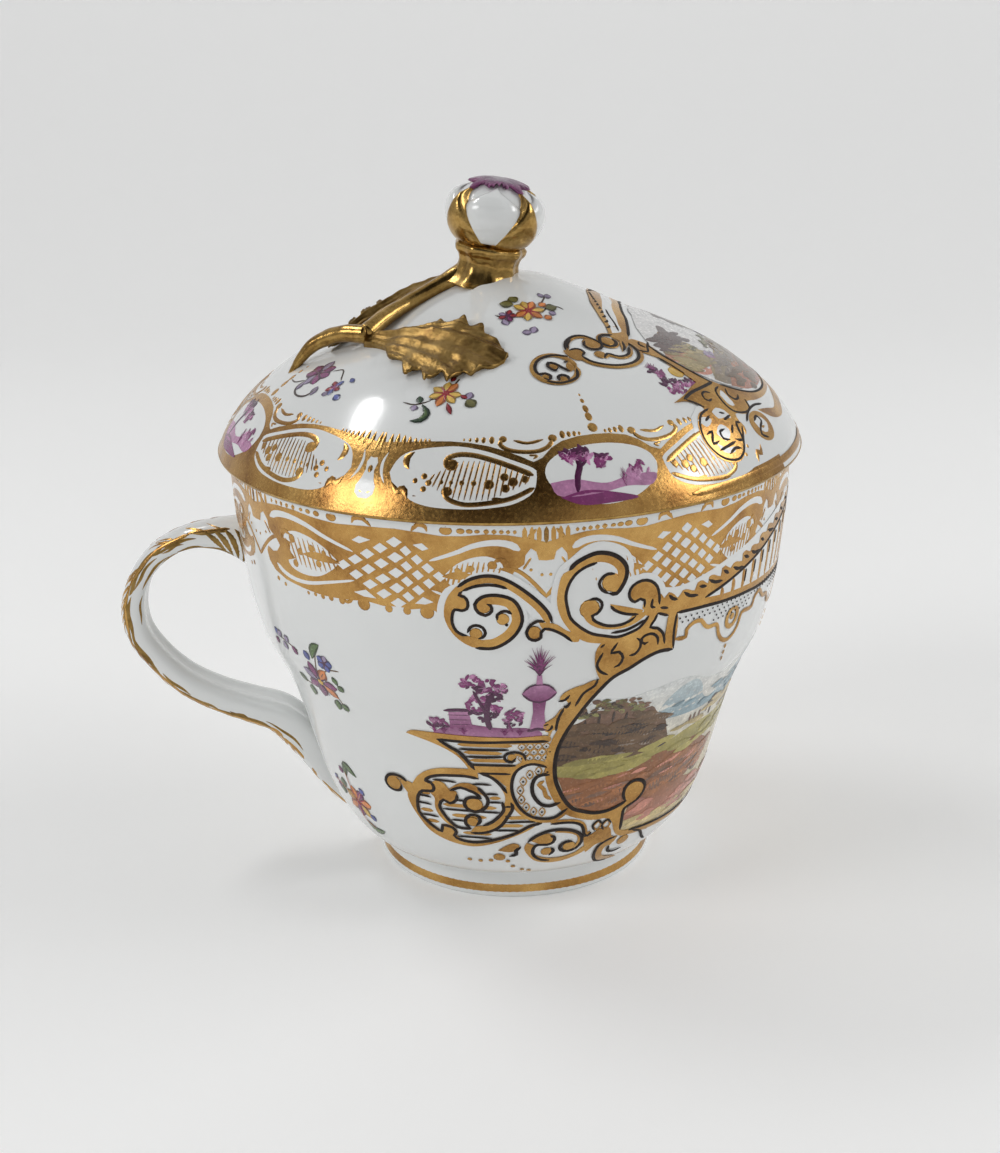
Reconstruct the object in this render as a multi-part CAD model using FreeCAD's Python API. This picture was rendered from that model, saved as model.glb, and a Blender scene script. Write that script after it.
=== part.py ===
import FreeCAD, Part
import math
import os

from FreeCAD import Vector

# A porcelain chocolate cup with its domed cover.
# The origin is the middle of the foot ring on the table, +Z is up and the handle points along -X.
# Heights are above the table and radii from the axis of the cup, all in millimetres.

# The bowl is a bell on a low foot ring. Its profile is straight runs between these corners,
# joined by tangent arcs of the given rounding.
CUP_HEIGHT = 62.5
RIM_RADIUS = 39.6
RIM_CHAMFER = 0.5
WALL = 2.6
SHOULDER_RADIUS = 37.6
SHOULDER_HEIGHT = 39.9
SHOULDER_ROUNDING = 10.2
WAIST_RADIUS = 32.6
WAIST_HEIGHT = 29.7
WAIST_ROUNDING = 66.0
TURN_RADIUS = 25.9
TURN_HEIGHT = 6.2
TURN_ROUNDING = 12.6

FOOT_HEIGHT = 4.0
FOOT_RADIUS = 20.2
FOOT_CREASE_RADIUS = 19.6
FOOT_EDGE_CHAMFER = 0.4
FOOT_RING_WIDTH = 2.6
RECESS_DEPTH = 2.2
RECESS_DRAFT = 0.4
FLOOR_THICKNESS = 3.2
FLOOR_ROUNDING = 8.0

# The handle is a strap: crowned outside and nearly flat inside.
# Each station is its distance from the cup's axis, its share of the height from the lower root to
# the upper one, its thickness and its width.
HANDLE_STATIONS = (
    (43.4, 1.055, 4.0, 6.0),
    (47.8, 1.028, 3.4, 5.4),
    (52.4, 0.917, 3.5, 5.4),
    (55.2, 0.703, 3.8, 5.6),
    (53.4, 0.483, 4.0, 6.0),
    (48.0, 0.293, 4.3, 6.6),
    (41.3, 0.169, 4.6, 7.2),
    (35.6, 0.090, 5.0, 7.6),
)
HANDLE_TOP_HEIGHT = 47.2
HANDLE_TOP_DEPTH = 9.6
HANDLE_FOOT_HEIGHT = 18.2
HANDLE_FOOT_DEPTH = 8.8
HANDLE_ROOT_WIDTH = 8.2
HANDLE_ROOT_SINK = 1.3
STRAP_CROWN_SHARE = 0.55
STRAP_OUTER_ROUNDNESS = 2.2
STRAP_INNER_ROUNDNESS = 3.6
STRAP_POINTS = 10

# Pointed tongues of clay run on from both roots of the handle, down the wall.
TONGUE_STAND = 0.9
TONGUE_SINK = 1.2
UPPER_TONGUE_WIDTH = 8.0
UPPER_TONGUE_RISE = 3.8
UPPER_TONGUE_DROP = 6.8
LOWER_TONGUE_WIDTH = 5.0
LOWER_TONGUE_DROP = 0.7
LOWER_TONGUE_TIP = 5.6

# The cover is a dome that sits on the rim, with a flange that drops inside it.
# The dome is a low cone, rounded at its haunch and at its apex. Rises are above the cup's rim.
COVER_OVERHANG = 1.4
COVER_RADIUS = RIM_RADIUS + COVER_OVERHANG
COVER_EDGE_CHAMFER = 0.6
COVER_WALL = 2.8
HAUNCH_INSET = 5.1
HAUNCH_RISE = 10.2
HAUNCH_ROUNDING = 30.5
CONE_RISE = 25.4
CROWN_ROUNDING = 17.4
CROWN_FLAT_RADIUS = 1.0
INNER_HAUNCH_ROUNDING = 9.0
FLANGE_DEPTH = 4.0
FLANGE_WIDTH = 2.2
FLANGE_CLEARANCE = 0.8

# The finial is a rose bud on a short neck, leaning a little away from its stem.
NECK_OFFSET = -2.4
NECK_RADIUS = 4.0
NECK_FOOT_RADIUS = 5.0
NECK_FOOT_SINK = 1.6
NECK_HEIGHT = 5.2
CALYX_RADIUS = 5.6
BUD_OFFSET = -2.0
BUD_RADIUS = 7.1
BUD_HEIGHT = 10.8
BUD_LEAN = 9.0
BUD_BASE_RADIUS = 6.3
BUD_BASE_ROUNDING = 3.4
BUD_BELLY_HEIGHT = 5.4
BUD_BELLY_ROUNDING = 9.0
BUD_TOP_RADIUS = 5.9
BUD_TOP_HEIGHT = 10.0
BUD_TOP_ROUNDING = 3.6
BUD_TIP_RADIUS = 0.7
PETAL_ANGLES = (-8.0, 172.0)
PETAL_WIDTH = 10.4
PETAL_LENGTH = 9.9
PETAL_FULLNESS = 0.98
PETAL_THICKNESS = 0.45
SEPAL_FIRST_ANGLE = -50.0
SEPAL_COUNT = 4
SEPAL_WIDTH = 7.6
SEPAL_LENGTH = 8.4
SEPAL_FULLNESS = 0.86
SEPAL_THICKNESS = 0.5
CALYX_DEPTH = 1.6

# The stem leaves the neck, runs down the dome and forks into the stalks of two leaves.
# Each stem point is X, Y, its height over the dome and the stem's radius there.
STEM_POINTS = (
    (-4.0, 0.2, 1.9, 2.2),
    (-7.4, -1.0, 1.4, 1.75),
    (-11.4, -2.5, 1.5, 1.4),
    (-14.8, -4.6, 1.4, 1.15),
    (-17.2, -7.6, 1.4, 1.1),
    (-19.2, -10.0, 1.5, 1.2),
)
TWIG_POINTS = (
    (-19.2, -10.0, 1.5, 1.2),
    (-22.0, -8.6, 2.2, 1.15),
    (-24.4, -7.4, 2.3, 1.1),
    (-26.6, -6.8, 2.0, 0.95),
    (-28.4, -6.6, 0.9, 0.7),
    (-29.6, -6.6, -0.3, 0.45),
)
FORK_KNOT_RADIUS = 1.6

# The leaves lie on the dome. A leaf's lobes are given as distances along it and away from its midrib,
# on the broad side and on the narrow side, for a leaf of LEAF_LENGTH.
LEAF_LENGTH = 22.8
LEAF_RISE = 1.3
LEAF_SINK = 1.0
LEAF_BASE_HALF_WIDTH = 0.9
BROAD_LOBES = ((6.0, 4.6), (10.2, 7.6), (14.2, 8.5), (17.6, 7.6), (19.8, 5.2), (21.6, 2.8))
NARROW_LOBES = ((6.4, 2.2), (9.6, 3.5), (12.9, 4.4), (16.2, 4.0), (19.2, 2.4))
NOTCH_SHARE = 0.84
VEIN_RISE = 0.35
MIDRIB_WIDTH = 1.3
VEIN_WIDTH = 0.7
FRONT_LEAF_BASE = (-19.2, -10.0)
FRONT_LEAF_TIP = (-0.2, -21.6)
REAR_LEAF_BASE = (-24.4, -6.6)
REAR_LEAF_TIP = (-9.0, 4.6)
REAR_LEAF_RISE = 1.7

AXIS_BASE = Vector(0, 0, 0)
UP = Vector(0, 0, 1)
ACROSS = Vector(0, 1, 0)
OUTWARD = Vector(1, 0, 0)


def spot(radius, height):
    """A point of a profile that is turned about the axis."""
    return Vector(radius, 0, height)


def smooth_curve(points):
    curve = Part.BSplineCurve()
    curve.interpolate(points)
    return curve


def line(start, end):
    return Part.LineSegment(start, end).toShape()


def arc(start, middle, end):
    return Part.Arc(start, middle, end).toShape()


def corner_arc(before, corner, after, rounding):
    """Start, middle and end of the arc that rounds a corner, as far as its two runs allow."""
    back = before - corner
    forth = after - corner
    half_angle = back.getAngle(forth) / 2.0
    longest = 0.98 * min(back.Length, forth.Length)
    reach = min(rounding / math.tan(half_angle), longest)
    radius = reach * math.tan(half_angle)
    start = corner + back.normalize() * reach
    end = corner + forth.normalize() * reach
    inward = ((start + end) * 0.5 - corner).normalize()
    middle = corner + inward * (radius / math.sin(half_angle) - radius)
    return start, middle, end


def rounded_run(corners, roundings):
    """Edges along straight runs from corner to corner, with each inner corner rounded."""
    edges = []
    here = corners[0]
    for number, rounding in enumerate(roundings):
        start, middle, end = corner_arc(*corners[number:number + 3], rounding)
        edges.append(line(here, start))
        edges.append(arc(start, middle, end))
        here = end
    edges.append(line(here, corners[-1]))
    return edges


def parallel_run(corners, roundings, distance):
    """The same run moved square to itself: outward from the axis, or inward if negative."""
    sides = []
    for start, end in zip(corners, corners[1:]):
        run = (end - start).normalize()
        sides.append(Vector(run.z, 0, -run.x))
    moved = [corners[0] + sides[0] * distance]
    changed = []
    for number, rounding in enumerate(roundings):
        before = sides[number]
        after = sides[number + 1]
        middle = (before + after).normalize()
        moved.append(corners[number + 1] + middle * (distance / middle.dot(before)))
        hollow = before.x * after.z - before.z * after.x < 0
        changed.append(rounding - distance if hollow else rounding + distance)
    moved.append(corners[-1] + sides[-1] * distance)
    return moved, changed


def turned(edges):
    """The solid that a closed profile makes when it is turned about the axis."""
    return Part.Face(Part.Wire(edges)).revolve(AXIS_BASE, UP, 360)


def prism(outline, travel):
    return Part.Face(Part.Wire(outline)).extrude(travel)


def body_run():
    """The corners of the bowl's outside, from the crease over the foot to the rim, and their roundings."""
    corners = [
        spot(FOOT_CREASE_RADIUS, FOOT_HEIGHT),
        spot(TURN_RADIUS, TURN_HEIGHT),
        spot(WAIST_RADIUS, WAIST_HEIGHT),
        spot(SHOULDER_RADIUS, SHOULDER_HEIGHT),
        spot(RIM_RADIUS, CUP_HEIGHT - RIM_CHAMFER),
    ]
    return corners, [TURN_ROUNDING, WAIST_ROUNDING, SHOULDER_ROUNDING]


def inner_run():
    """The inside of the bowl, from the middle of its floor up to the rim."""
    corners, roundings = parallel_run(*body_run(), -WALL)
    floor_top = RECESS_DEPTH + FLOOR_THICKNESS
    share = (floor_top - corners[0].z) / (corners[1].z - corners[0].z)
    floor_edge = corners[0] + (corners[1] - corners[0]) * share
    rim = spot(RIM_RADIUS - WALL, CUP_HEIGHT - RIM_CHAMFER)
    corners = [spot(0, floor_top), floor_edge] + corners[1:-1] + [rim]
    return rounded_run(corners, [FLOOR_ROUNDING] + roundings)


def bowl():
    """The bowl, its rim and the foot ring, turned in one piece."""
    corners, roundings = body_run()
    rim_inside = spot(RIM_RADIUS - WALL, CUP_HEIGHT - RIM_CHAMFER)
    seat_outside = spot(RIM_RADIUS - RIM_CHAMFER, CUP_HEIGHT)
    seat_inside = spot(RIM_RADIUS - WALL + RIM_CHAMFER, CUP_HEIGHT)
    floor_middle = spot(0, RECESS_DEPTH + FLOOR_THICKNESS)
    recess_middle = spot(0, RECESS_DEPTH)
    ring_inside = FOOT_RADIUS - FOOT_RING_WIDTH
    recess_edge = spot(ring_inside - RECESS_DRAFT, RECESS_DEPTH)
    ring_edge = spot(ring_inside, 0)
    foot_bottom = spot(FOOT_RADIUS - FOOT_EDGE_CHAMFER, 0)
    foot_side = spot(FOOT_RADIUS, FOOT_EDGE_CHAMFER)
    foot = [
        line(recess_middle, recess_edge),
        line(recess_edge, ring_edge),
        line(ring_edge, foot_bottom),
        line(foot_bottom, foot_side),
        line(foot_side, corners[0]),
    ]
    rim = [
        line(corners[-1], seat_outside),
        line(seat_outside, seat_inside),
        line(seat_inside, rim_inside),
    ]
    middle = [line(floor_middle, recess_middle)]
    return turned(foot + rounded_run(corners, roundings) + rim + inner_run()[::-1] + middle)


def bowl_hollow():
    """All that the bowl holds, up to its rim."""
    rim_inside = spot(RIM_RADIUS - WALL, CUP_HEIGHT - RIM_CHAMFER)
    rim_middle = spot(0, CUP_HEIGHT - RIM_CHAMFER)
    floor_middle = spot(0, RECESS_DEPTH + FLOOR_THICKNESS)
    return turned(inner_run() + [line(rim_inside, rim_middle), line(rim_middle, floor_middle)])


def bowl_block(stand):
    """The filled outer form of the bowl, with its surface moved out by stand."""
    corners, roundings = parallel_run(*body_run(), stand)
    top = spot(0, corners[-1].z)
    bottom = spot(0, corners[0].z)
    edges = rounded_run(corners, roundings)
    return turned(edges + [line(corners[-1], top), line(top, bottom), line(bottom, corners[0])])


def wall_radius(height):
    """The bowl's outer radius at a height, by its profile's straight runs."""
    corners, _ = body_run()
    for low, high in zip(corners, corners[1:]):
        if height <= high.z or high is corners[-1]:
            share = (height - low.z) / (high.z - low.z)
            return low.x + (high.x - low.x) * share


def signed_power(value, exponent):
    return math.copysign(abs(value) ** exponent, value)


def strap_section(centre, direction, thickness, width):
    """A closed strap section, square to its direction, with its crown away from the cup."""
    outside = ACROSS.cross(direction)
    points = []
    for step in range(STRAP_POINTS):
        angle = 2.0 * math.pi * step / STRAP_POINTS
        across = signed_power(math.cos(angle), 2.0 / STRAP_OUTER_ROUNDNESS) * width / 2.0
        roundness = STRAP_OUTER_ROUNDNESS
        depth = thickness * STRAP_CROWN_SHARE
        if math.sin(angle) < 0:
            roundness = STRAP_INNER_ROUNDNESS
            depth = thickness * (1.0 - STRAP_CROWN_SHARE)
        out = signed_power(math.sin(angle), 2.0 / roundness) * depth
        points.append(centre + ACROSS * across + outside * out)
    curve = Part.BSplineCurve()
    curve.interpolate(points, True)
    return Part.Wire(curve.toShape())


def handle():
    """The ear-shaped strap, from its flared upper root to its deep lower one."""
    top_root = Vector(HANDLE_ROOT_SINK - wall_radius(HANDLE_TOP_HEIGHT), 0, HANDLE_TOP_HEIGHT)
    foot_root = Vector(HANDLE_ROOT_SINK - wall_radius(HANDLE_FOOT_HEIGHT), 0, HANDLE_FOOT_HEIGHT)
    drop = HANDLE_TOP_HEIGHT - HANDLE_FOOT_HEIGHT
    centres = [Vector(-out, 0, HANDLE_FOOT_HEIGHT + share * drop) for out, share, _, _ in HANDLE_STATIONS]
    path = smooth_curve([top_root] + centres + [foot_root])
    sections = [strap_section(top_root, -OUTWARD, HANDLE_TOP_DEPTH, HANDLE_ROOT_WIDTH)]
    for centre, station in zip(centres, HANDLE_STATIONS):
        direction = path.tangent(path.parameter(centre))[0]
        sections.append(strap_section(centre, direction, station[2], station[3]))
    sections.append(strap_section(foot_root, OUTWARD, HANDLE_FOOT_DEPTH, HANDLE_ROOT_WIDTH))
    return Part.makeLoft(sections, True, False)


def tongue(width, top, tip):
    """A pointed tongue of clay on the handle's side of the bowl, wide at its top."""
    half = width / 2.0
    drop = top - tip
    left = Vector(0, -half, top)
    right = Vector(0, half, top)
    end = Vector(0, 0, tip)
    left_belly = Vector(0, -0.62 * half, top - 0.5 * drop)
    right_belly = Vector(0, 0.62 * half, top - 0.5 * drop)
    outline = [arc(left, left_belly, end), arc(end, right_belly, right), line(right, left)]
    block = prism(outline, -OUTWARD * 2.0 * RIM_RADIUS).common(bowl_block(TONGUE_STAND))
    return block.cut(bowl_block(-TONGUE_SINK))


def cup():
    """The bowl with the handle luted to it, one fired piece."""
    return bowl().fuse([
        handle().cut(bowl_hollow()),
        tongue(UPPER_TONGUE_WIDTH, HANDLE_TOP_HEIGHT + UPPER_TONGUE_RISE,
               HANDLE_TOP_HEIGHT - UPPER_TONGUE_DROP),
        tongue(LOWER_TONGUE_WIDTH, HANDLE_FOOT_HEIGHT - LOWER_TONGUE_DROP, LOWER_TONGUE_TIP),
    ])


def dome_run(stand):
    """The dome's outside moved out by stand: its edge, haunch and cone apex, and the roundings."""
    edge = spot(COVER_RADIUS, CUP_HEIGHT + COVER_EDGE_CHAMFER)
    haunch = spot(COVER_RADIUS - HAUNCH_INSET, CUP_HEIGHT + HAUNCH_RISE)
    apex = spot(0, CUP_HEIGHT + CONE_RISE)
    corners, roundings = parallel_run([edge, haunch, apex], [HAUNCH_ROUNDING], stand)
    slope = (apex - haunch).normalize()
    corners[-1] = spot(0, apex.z + stand / -slope.x)
    return corners, roundings + [CROWN_ROUNDING + stand]


def crowned_run(corners, roundings):
    """A rounded run up to the axis, where it is rounded and ends in a small flat. Also returns the top."""
    before = corners[-2]
    apex = corners[-1]
    mirrored = spot(-before.x, before.z)
    start, summit, _ = corner_arc(before, apex, mirrored, roundings[-1])
    edges = rounded_run(corners[:-1] + [start], roundings[:-1])
    rise = summit - start
    radius = rise.Length ** 2 / (2.0 * rise.z)
    centre = spot(0, summit.z - radius)
    top = spot(0, centre.z + math.sqrt(radius ** 2 - CROWN_FLAT_RADIUS ** 2))
    flat_edge = spot(CROWN_FLAT_RADIUS, top.z)
    half_way = centre + ((start - centre) + (flat_edge - centre)).normalize() * radius
    return edges + [arc(start, half_way, flat_edge), line(flat_edge, top)], top


def dome_top():
    return crowned_run(*dome_run(0.0))[1].z


def dome_block(stand):
    """The filled outer form of the dome, with its surface moved out by stand."""
    corners, roundings = dome_run(stand)
    edges, top = crowned_run(corners, roundings)
    base = spot(0, corners[0].z)
    return turned(edges + [line(top, base), line(base, corners[0])])


def dome_height(x, y):
    """The dome's outer height over a place on the plan, from its cone and its crown."""
    (_, haunch, apex), (_, crown) = dome_run(0.0)
    radius = math.hypot(x, y)
    slope = math.atan2(apex.z - haunch.z, haunch.x)
    if radius > crown * math.sin(slope):
        return apex.z - radius * math.tan(slope)
    return apex.z - crown / math.cos(slope) + math.sqrt(crown ** 2 - radius ** 2)


def dome_shell():
    """The dome with its seat on the rim and its locating flange."""
    corners, roundings = dome_run(0.0)
    outside, top = crowned_run(corners, roundings)
    inner_corners, inner_roundings = dome_run(-COVER_WALL)
    haunch = inner_corners[1]
    apex = inner_corners[2]
    flange_radius = RIM_RADIUS - WALL - FLANGE_CLEARANCE
    flange_inside = flange_radius - FLANGE_WIDTH
    flange_bottom = CUP_HEIGHT - FLANGE_DEPTH
    wall_top = spot(flange_inside, haunch.z + (apex.z - haunch.z) * (1.0 - flange_inside / haunch.x))
    inside, inner_top = crowned_run([spot(flange_inside, flange_bottom), wall_top, apex],
                                    [INNER_HAUNCH_ROUNDING, inner_roundings[-1]])
    seat_edge = spot(COVER_RADIUS - COVER_EDGE_CHAMFER, CUP_HEIGHT)
    seat = [
        line(spot(flange_radius, CUP_HEIGHT), seat_edge),
        line(seat_edge, corners[0]),
    ]
    flange = [
        line(spot(flange_inside, flange_bottom), spot(flange_radius, flange_bottom)),
        line(spot(flange_radius, flange_bottom), spot(flange_radius, CUP_HEIGHT)),
    ]
    return turned(seat + outside + [line(top, inner_top)] + inside[::-1] + flange)


def neck():
    """The short neck that carries the bud, flared at both ends."""
    bottom = dome_top() - NECK_FOOT_SINK
    top = dome_top() + NECK_HEIGHT - CALYX_DEPTH
    foot = spot(NECK_FOOT_RADIUS, bottom)
    calyx = spot(CALYX_RADIUS, top)
    solid = turned([
        arc(foot, spot(NECK_RADIUS, 0.5 * (bottom + top)), calyx),
        line(calyx, spot(0, top)),
        line(spot(0, top), spot(0, bottom)),
        line(spot(0, bottom), foot),
    ])
    solid.translate(Vector(NECK_OFFSET, 0, 0))
    return solid


def bud_form(swell):
    """A squat closed bud, standing on the origin, with its surface moved out by swell."""
    corners = [
        spot(0, 0),
        spot(BUD_BASE_RADIUS + swell, 0),
        spot(BUD_RADIUS + swell, BUD_BELLY_HEIGHT),
        spot(BUD_TOP_RADIUS + swell, BUD_TOP_HEIGHT + swell),
        spot(BUD_TIP_RADIUS, BUD_HEIGHT + swell),
    ]
    roundings = [BUD_BASE_ROUNDING, BUD_BELLY_ROUNDING, BUD_TOP_ROUNDING]
    tip = spot(0, BUD_HEIGHT + swell)
    return turned(rounded_run(corners, roundings) + [line(corners[-1], tip), line(tip, corners[0])])


def pointed_arch(width, length, fullness):
    """A blade outline that stands upright, wide at its base and pointed at its tip."""
    half = width / 2.0
    left = Vector(0, -half, 0)
    right = Vector(0, half, 0)
    tip = Vector(0, 0, length)
    left_belly = Vector(0, -fullness * half, 0.5 * length)
    right_belly = Vector(0, fullness * half, 0.5 * length)
    return [arc(left, left_belly, tip), arc(tip, right_belly, right), line(right, left)]


def wrapped(form, outline, angles):
    """Blades of one outline that wrap a bud form, pointing up round its axis."""
    pieces = []
    for angle in angles:
        cutter = prism(outline, OUTWARD * 2.0 * BUD_RADIUS)
        cutter.rotate(AXIS_BASE, UP, angle)
        pieces.append(form.common(cutter))
    return pieces


def petals():
    """The outer pair of petals, which overlap the inner pair."""
    form = bud_form(0.0)
    return wrapped(form, pointed_arch(PETAL_WIDTH, PETAL_LENGTH, PETAL_FULLNESS), PETAL_ANGLES)


def sepals():
    """Pointed sepals that hug the lower bud, and the calyx that they grow from."""
    form = bud_form(SEPAL_THICKNESS)
    calyx_cutter = Part.makeCylinder(2.0 * BUD_RADIUS, CALYX_DEPTH)
    angles = [SEPAL_FIRST_ANGLE + 360.0 / SEPAL_COUNT * number for number in range(SEPAL_COUNT)]
    outline = pointed_arch(SEPAL_WIDTH, SEPAL_LENGTH, SEPAL_FULLNESS)
    return wrapped(form, outline, angles) + [form.common(calyx_cutter)]


def bud():
    """The rose bud, leaning on top of its neck."""
    heart = bud_form(-PETAL_THICKNESS)
    solid = heart.fuse(petals() + sepals())
    solid.rotate(AXIS_BASE, ACROSS, BUD_LEAN)
    solid.translate(Vector(BUD_OFFSET, 0, dome_top() + NECK_HEIGHT - 2.0 * CALYX_DEPTH))
    return solid


def over_dome(x, y, rise):
    return Vector(x, y, dome_height(x, y) + rise)


def stalk(points):
    """A round stalk that follows the dome, through points of X, Y, height over it and radius."""
    centres = [over_dome(x, y, rise) for x, y, rise, _ in points]
    path = smooth_curve(centres)
    rings = []
    for centre, point in zip(centres, points):
        direction = path.tangent(path.parameter(centre))[0]
        rings.append(Part.Wire(Part.Circle(centre, direction, point[3]).toShape()))
    return Part.makeLoft(rings, True, False)


def fork_knot():
    """The knot where the stem forks, round the ends of the stem and of its twig."""
    before = over_dome(*STEM_POINTS[-2][:3])
    centre = over_dome(*STEM_POINTS[-1][:3])
    return Part.makeSphere(FORK_KNOT_RADIUS, centre, centre - before)


def leaf_frame(base, tip, side):
    """A function that places a point of the leaf, along it and aside from its midrib, on the plan."""
    root = Vector(base[0], base[1], 0)
    run = Vector(tip[0], tip[1], 0) - root
    along = Vector(run).normalize()
    aside = UP.cross(along) * side
    share = run.Length / LEAF_LENGTH

    def place(distance, offset):
        return root + along * (distance * share) + aside * (offset * share)

    return place


def leaf_edge(place, lobes, side):
    """One scalloped side of a leaf from base to tip, as arcs from notch to notch."""
    notches = [place(0, side * LEAF_BASE_HALF_WIDTH)]
    for lobe, following in zip(lobes, lobes[1:]):
        distance = 0.5 * (lobe[0] + following[0])
        offset = 0.5 * (lobe[1] + following[1]) * NOTCH_SHARE
        notches.append(place(distance, side * offset))
    notches.append(place(LEAF_LENGTH, 0))
    edges = []
    for number, lobe in enumerate(lobes):
        edges.append(arc(notches[number], place(lobe[0], side * lobe[1]), notches[number + 1]))
    return edges, notches[0]


def vein(place, end, width):
    """A vein on the plan: a narrow wedge from near the leaf's base to an end point."""
    start = place(0.5, 0)
    run = end - start
    half = Vector(-run.y, run.x, 0).normalize() * (width / 2.0)
    corners = [start - half, end, start + half]
    return [line(corners[0], corners[1]), line(corners[1], corners[2]), line(corners[2], corners[0])]


def leaf(base, tip, side, rise):
    """A scalloped leaf that hugs the dome, with a raised midrib and a vein to each lobe."""
    place = leaf_frame(base, tip, side)
    broad, broad_start = leaf_edge(place, BROAD_LOBES, 1)
    narrow, narrow_start = leaf_edge(place, NARROW_LOBES, -1)
    travel = UP * (CUP_HEIGHT + 2.0 * CONE_RISE)
    core = dome_block(-LEAF_SINK)
    outline = broad + narrow[::-1] + [line(narrow_start, broad_start)]
    blade = prism(Part.__sortEdges__(outline), travel)
    solid = blade.common(dome_block(rise)).cut(core)
    layer = dome_block(rise + VEIN_RISE)
    veins = [prism(vein(place, place(LEAF_LENGTH, 0), MIDRIB_WIDTH), travel)]
    for lobes, way in ((BROAD_LOBES, 1), (NARROW_LOBES, -1)):
        for distance, offset in lobes[:-1]:
            end = place(distance * 0.97, way * offset * 0.94)
            veins.append(prism(vein(place, end, VEIN_WIDTH), travel))
    raised = veins[0].fuse(veins[1:]).common(layer).cut(core)
    return solid.fuse(raised)


def cover():
    """The domed cover with its bud, stem, twig and leaves, one fired piece."""
    front_leaf = leaf(FRONT_LEAF_BASE, FRONT_LEAF_TIP, -1, LEAF_RISE)
    rear_leaf = leaf(REAR_LEAF_BASE, REAR_LEAF_TIP, 1, REAR_LEAF_RISE)
    stalks = [stalk(STEM_POINTS), stalk(TWIG_POINTS), fork_knot()]
    return dome_shell().fuse([neck(), bud()] + stalks + [front_leaf, rear_leaf])


def save(shape, name):
    solid = shape.Solids[0]
    if len(shape.Solids) != 1 or not solid.isValid():
        raise RuntimeError(name + " is not one sound solid")
    solid.exportStep("parts/" + name + ".step")
    box = solid.BoundBox
    print(name, round(box.XLength, 2), round(box.YLength, 2), round(box.ZLength, 2),
          round(solid.Volume, 1))


os.makedirs("parts", exist_ok=True)
save(cup(), "cup")
save(cover(), "cover")
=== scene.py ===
"""The looks of a covered chocolate cup: glazed porcelain, raised gilding, outlines and enamels."""

import math
import random

import bmesh
import bpy
from mathutils import Matrix, Vector, geometry, noise


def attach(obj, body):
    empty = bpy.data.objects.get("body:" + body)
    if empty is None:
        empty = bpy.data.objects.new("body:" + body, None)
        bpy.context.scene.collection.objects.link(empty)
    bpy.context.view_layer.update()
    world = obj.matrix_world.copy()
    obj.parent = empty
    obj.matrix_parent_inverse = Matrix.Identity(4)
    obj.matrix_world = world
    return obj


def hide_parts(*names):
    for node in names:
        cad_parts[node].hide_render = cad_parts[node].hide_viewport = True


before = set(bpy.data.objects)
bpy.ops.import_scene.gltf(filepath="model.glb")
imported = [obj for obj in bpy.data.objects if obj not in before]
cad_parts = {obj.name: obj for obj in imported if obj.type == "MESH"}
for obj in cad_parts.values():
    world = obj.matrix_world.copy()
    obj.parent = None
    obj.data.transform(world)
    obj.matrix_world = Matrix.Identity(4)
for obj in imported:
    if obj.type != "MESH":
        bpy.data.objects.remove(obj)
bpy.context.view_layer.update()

MM = 0.001
ROUND_STEPS = 288
# Edges sharper than this many degrees stay sharp, on turned pieces and on painted films.
TURNED_EDGE, FILM_EDGE = 35, 40
RIM_HEIGHT = 62.5
RIM_RADIUS = 39.6
WALL = 2.6
LID_WALL = 2.8
LID_RADIUS = 41

# Where the turned surfaces run, in mm: (height, radius) up the cup, (radius, rise) in over the lid.
CUP_LINE = ((4, 19.7), (5.5, 22.8), (8.7, 25.6), (14.4, 28.3), (20.1, 30), (25.8, 31.5), (31.5, 33.5),
    (37.2, 36.2), (42.9, 37.7), (48.6, 38.5), (54.3, 39.05), (60, 39.45), (62.5, 39.6))
LID_LINE = ((0, 23.9), (4.6, 23.3), (9, 21.7), (13.2, 19.8), (17.7, 17.7), (23.2, 15.4), (30, 12.1), (36.3,
    7.2), (39.3, 3.6), (40.6, 1.3), (41, 0.3))


def smooth_line(points):
    """A smooth curve through points in rising order, with no swing between them."""
    xs = [p[0] for p in points]
    ys = [p[1] for p in points]
    steps = [(ys[i + 1] - ys[i]) / (xs[i + 1] - xs[i]) for i in range(len(xs) - 1)]
    slopes = [steps[0]]
    for before, after in zip(steps, steps[1:]):
        same_way = before * after > 0
        slopes.append(2 * before * after / (before + after) if same_way else 0)
    slopes.append(steps[-1])

    def value(x):
        x = min(max(x, xs[0]), xs[-1])
        i = 0
        while i < len(xs) - 2 and x > xs[i + 1]:
            i += 1
        span = xs[i + 1] - xs[i]
        t = (x - xs[i]) / span
        lead = (1 + 2 * t) * (1 - t) ** 2 * ys[i] + t * (1 - t) ** 2 * span * slopes[i]
        return lead + t * t * (3 - 2 * t) * ys[i + 1] + t * t * (t - 1) * span * slopes[i + 1]

    return value


cup_body_radius = smooth_line(CUP_LINE)
lid_rise = smooth_line(LID_LINE)


def cup_radius(height):
    if height < CUP_LINE[0][0]:
        return 20.2 - 0.5 * height / CUP_LINE[0][0]
    return cup_body_radius(height)


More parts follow.
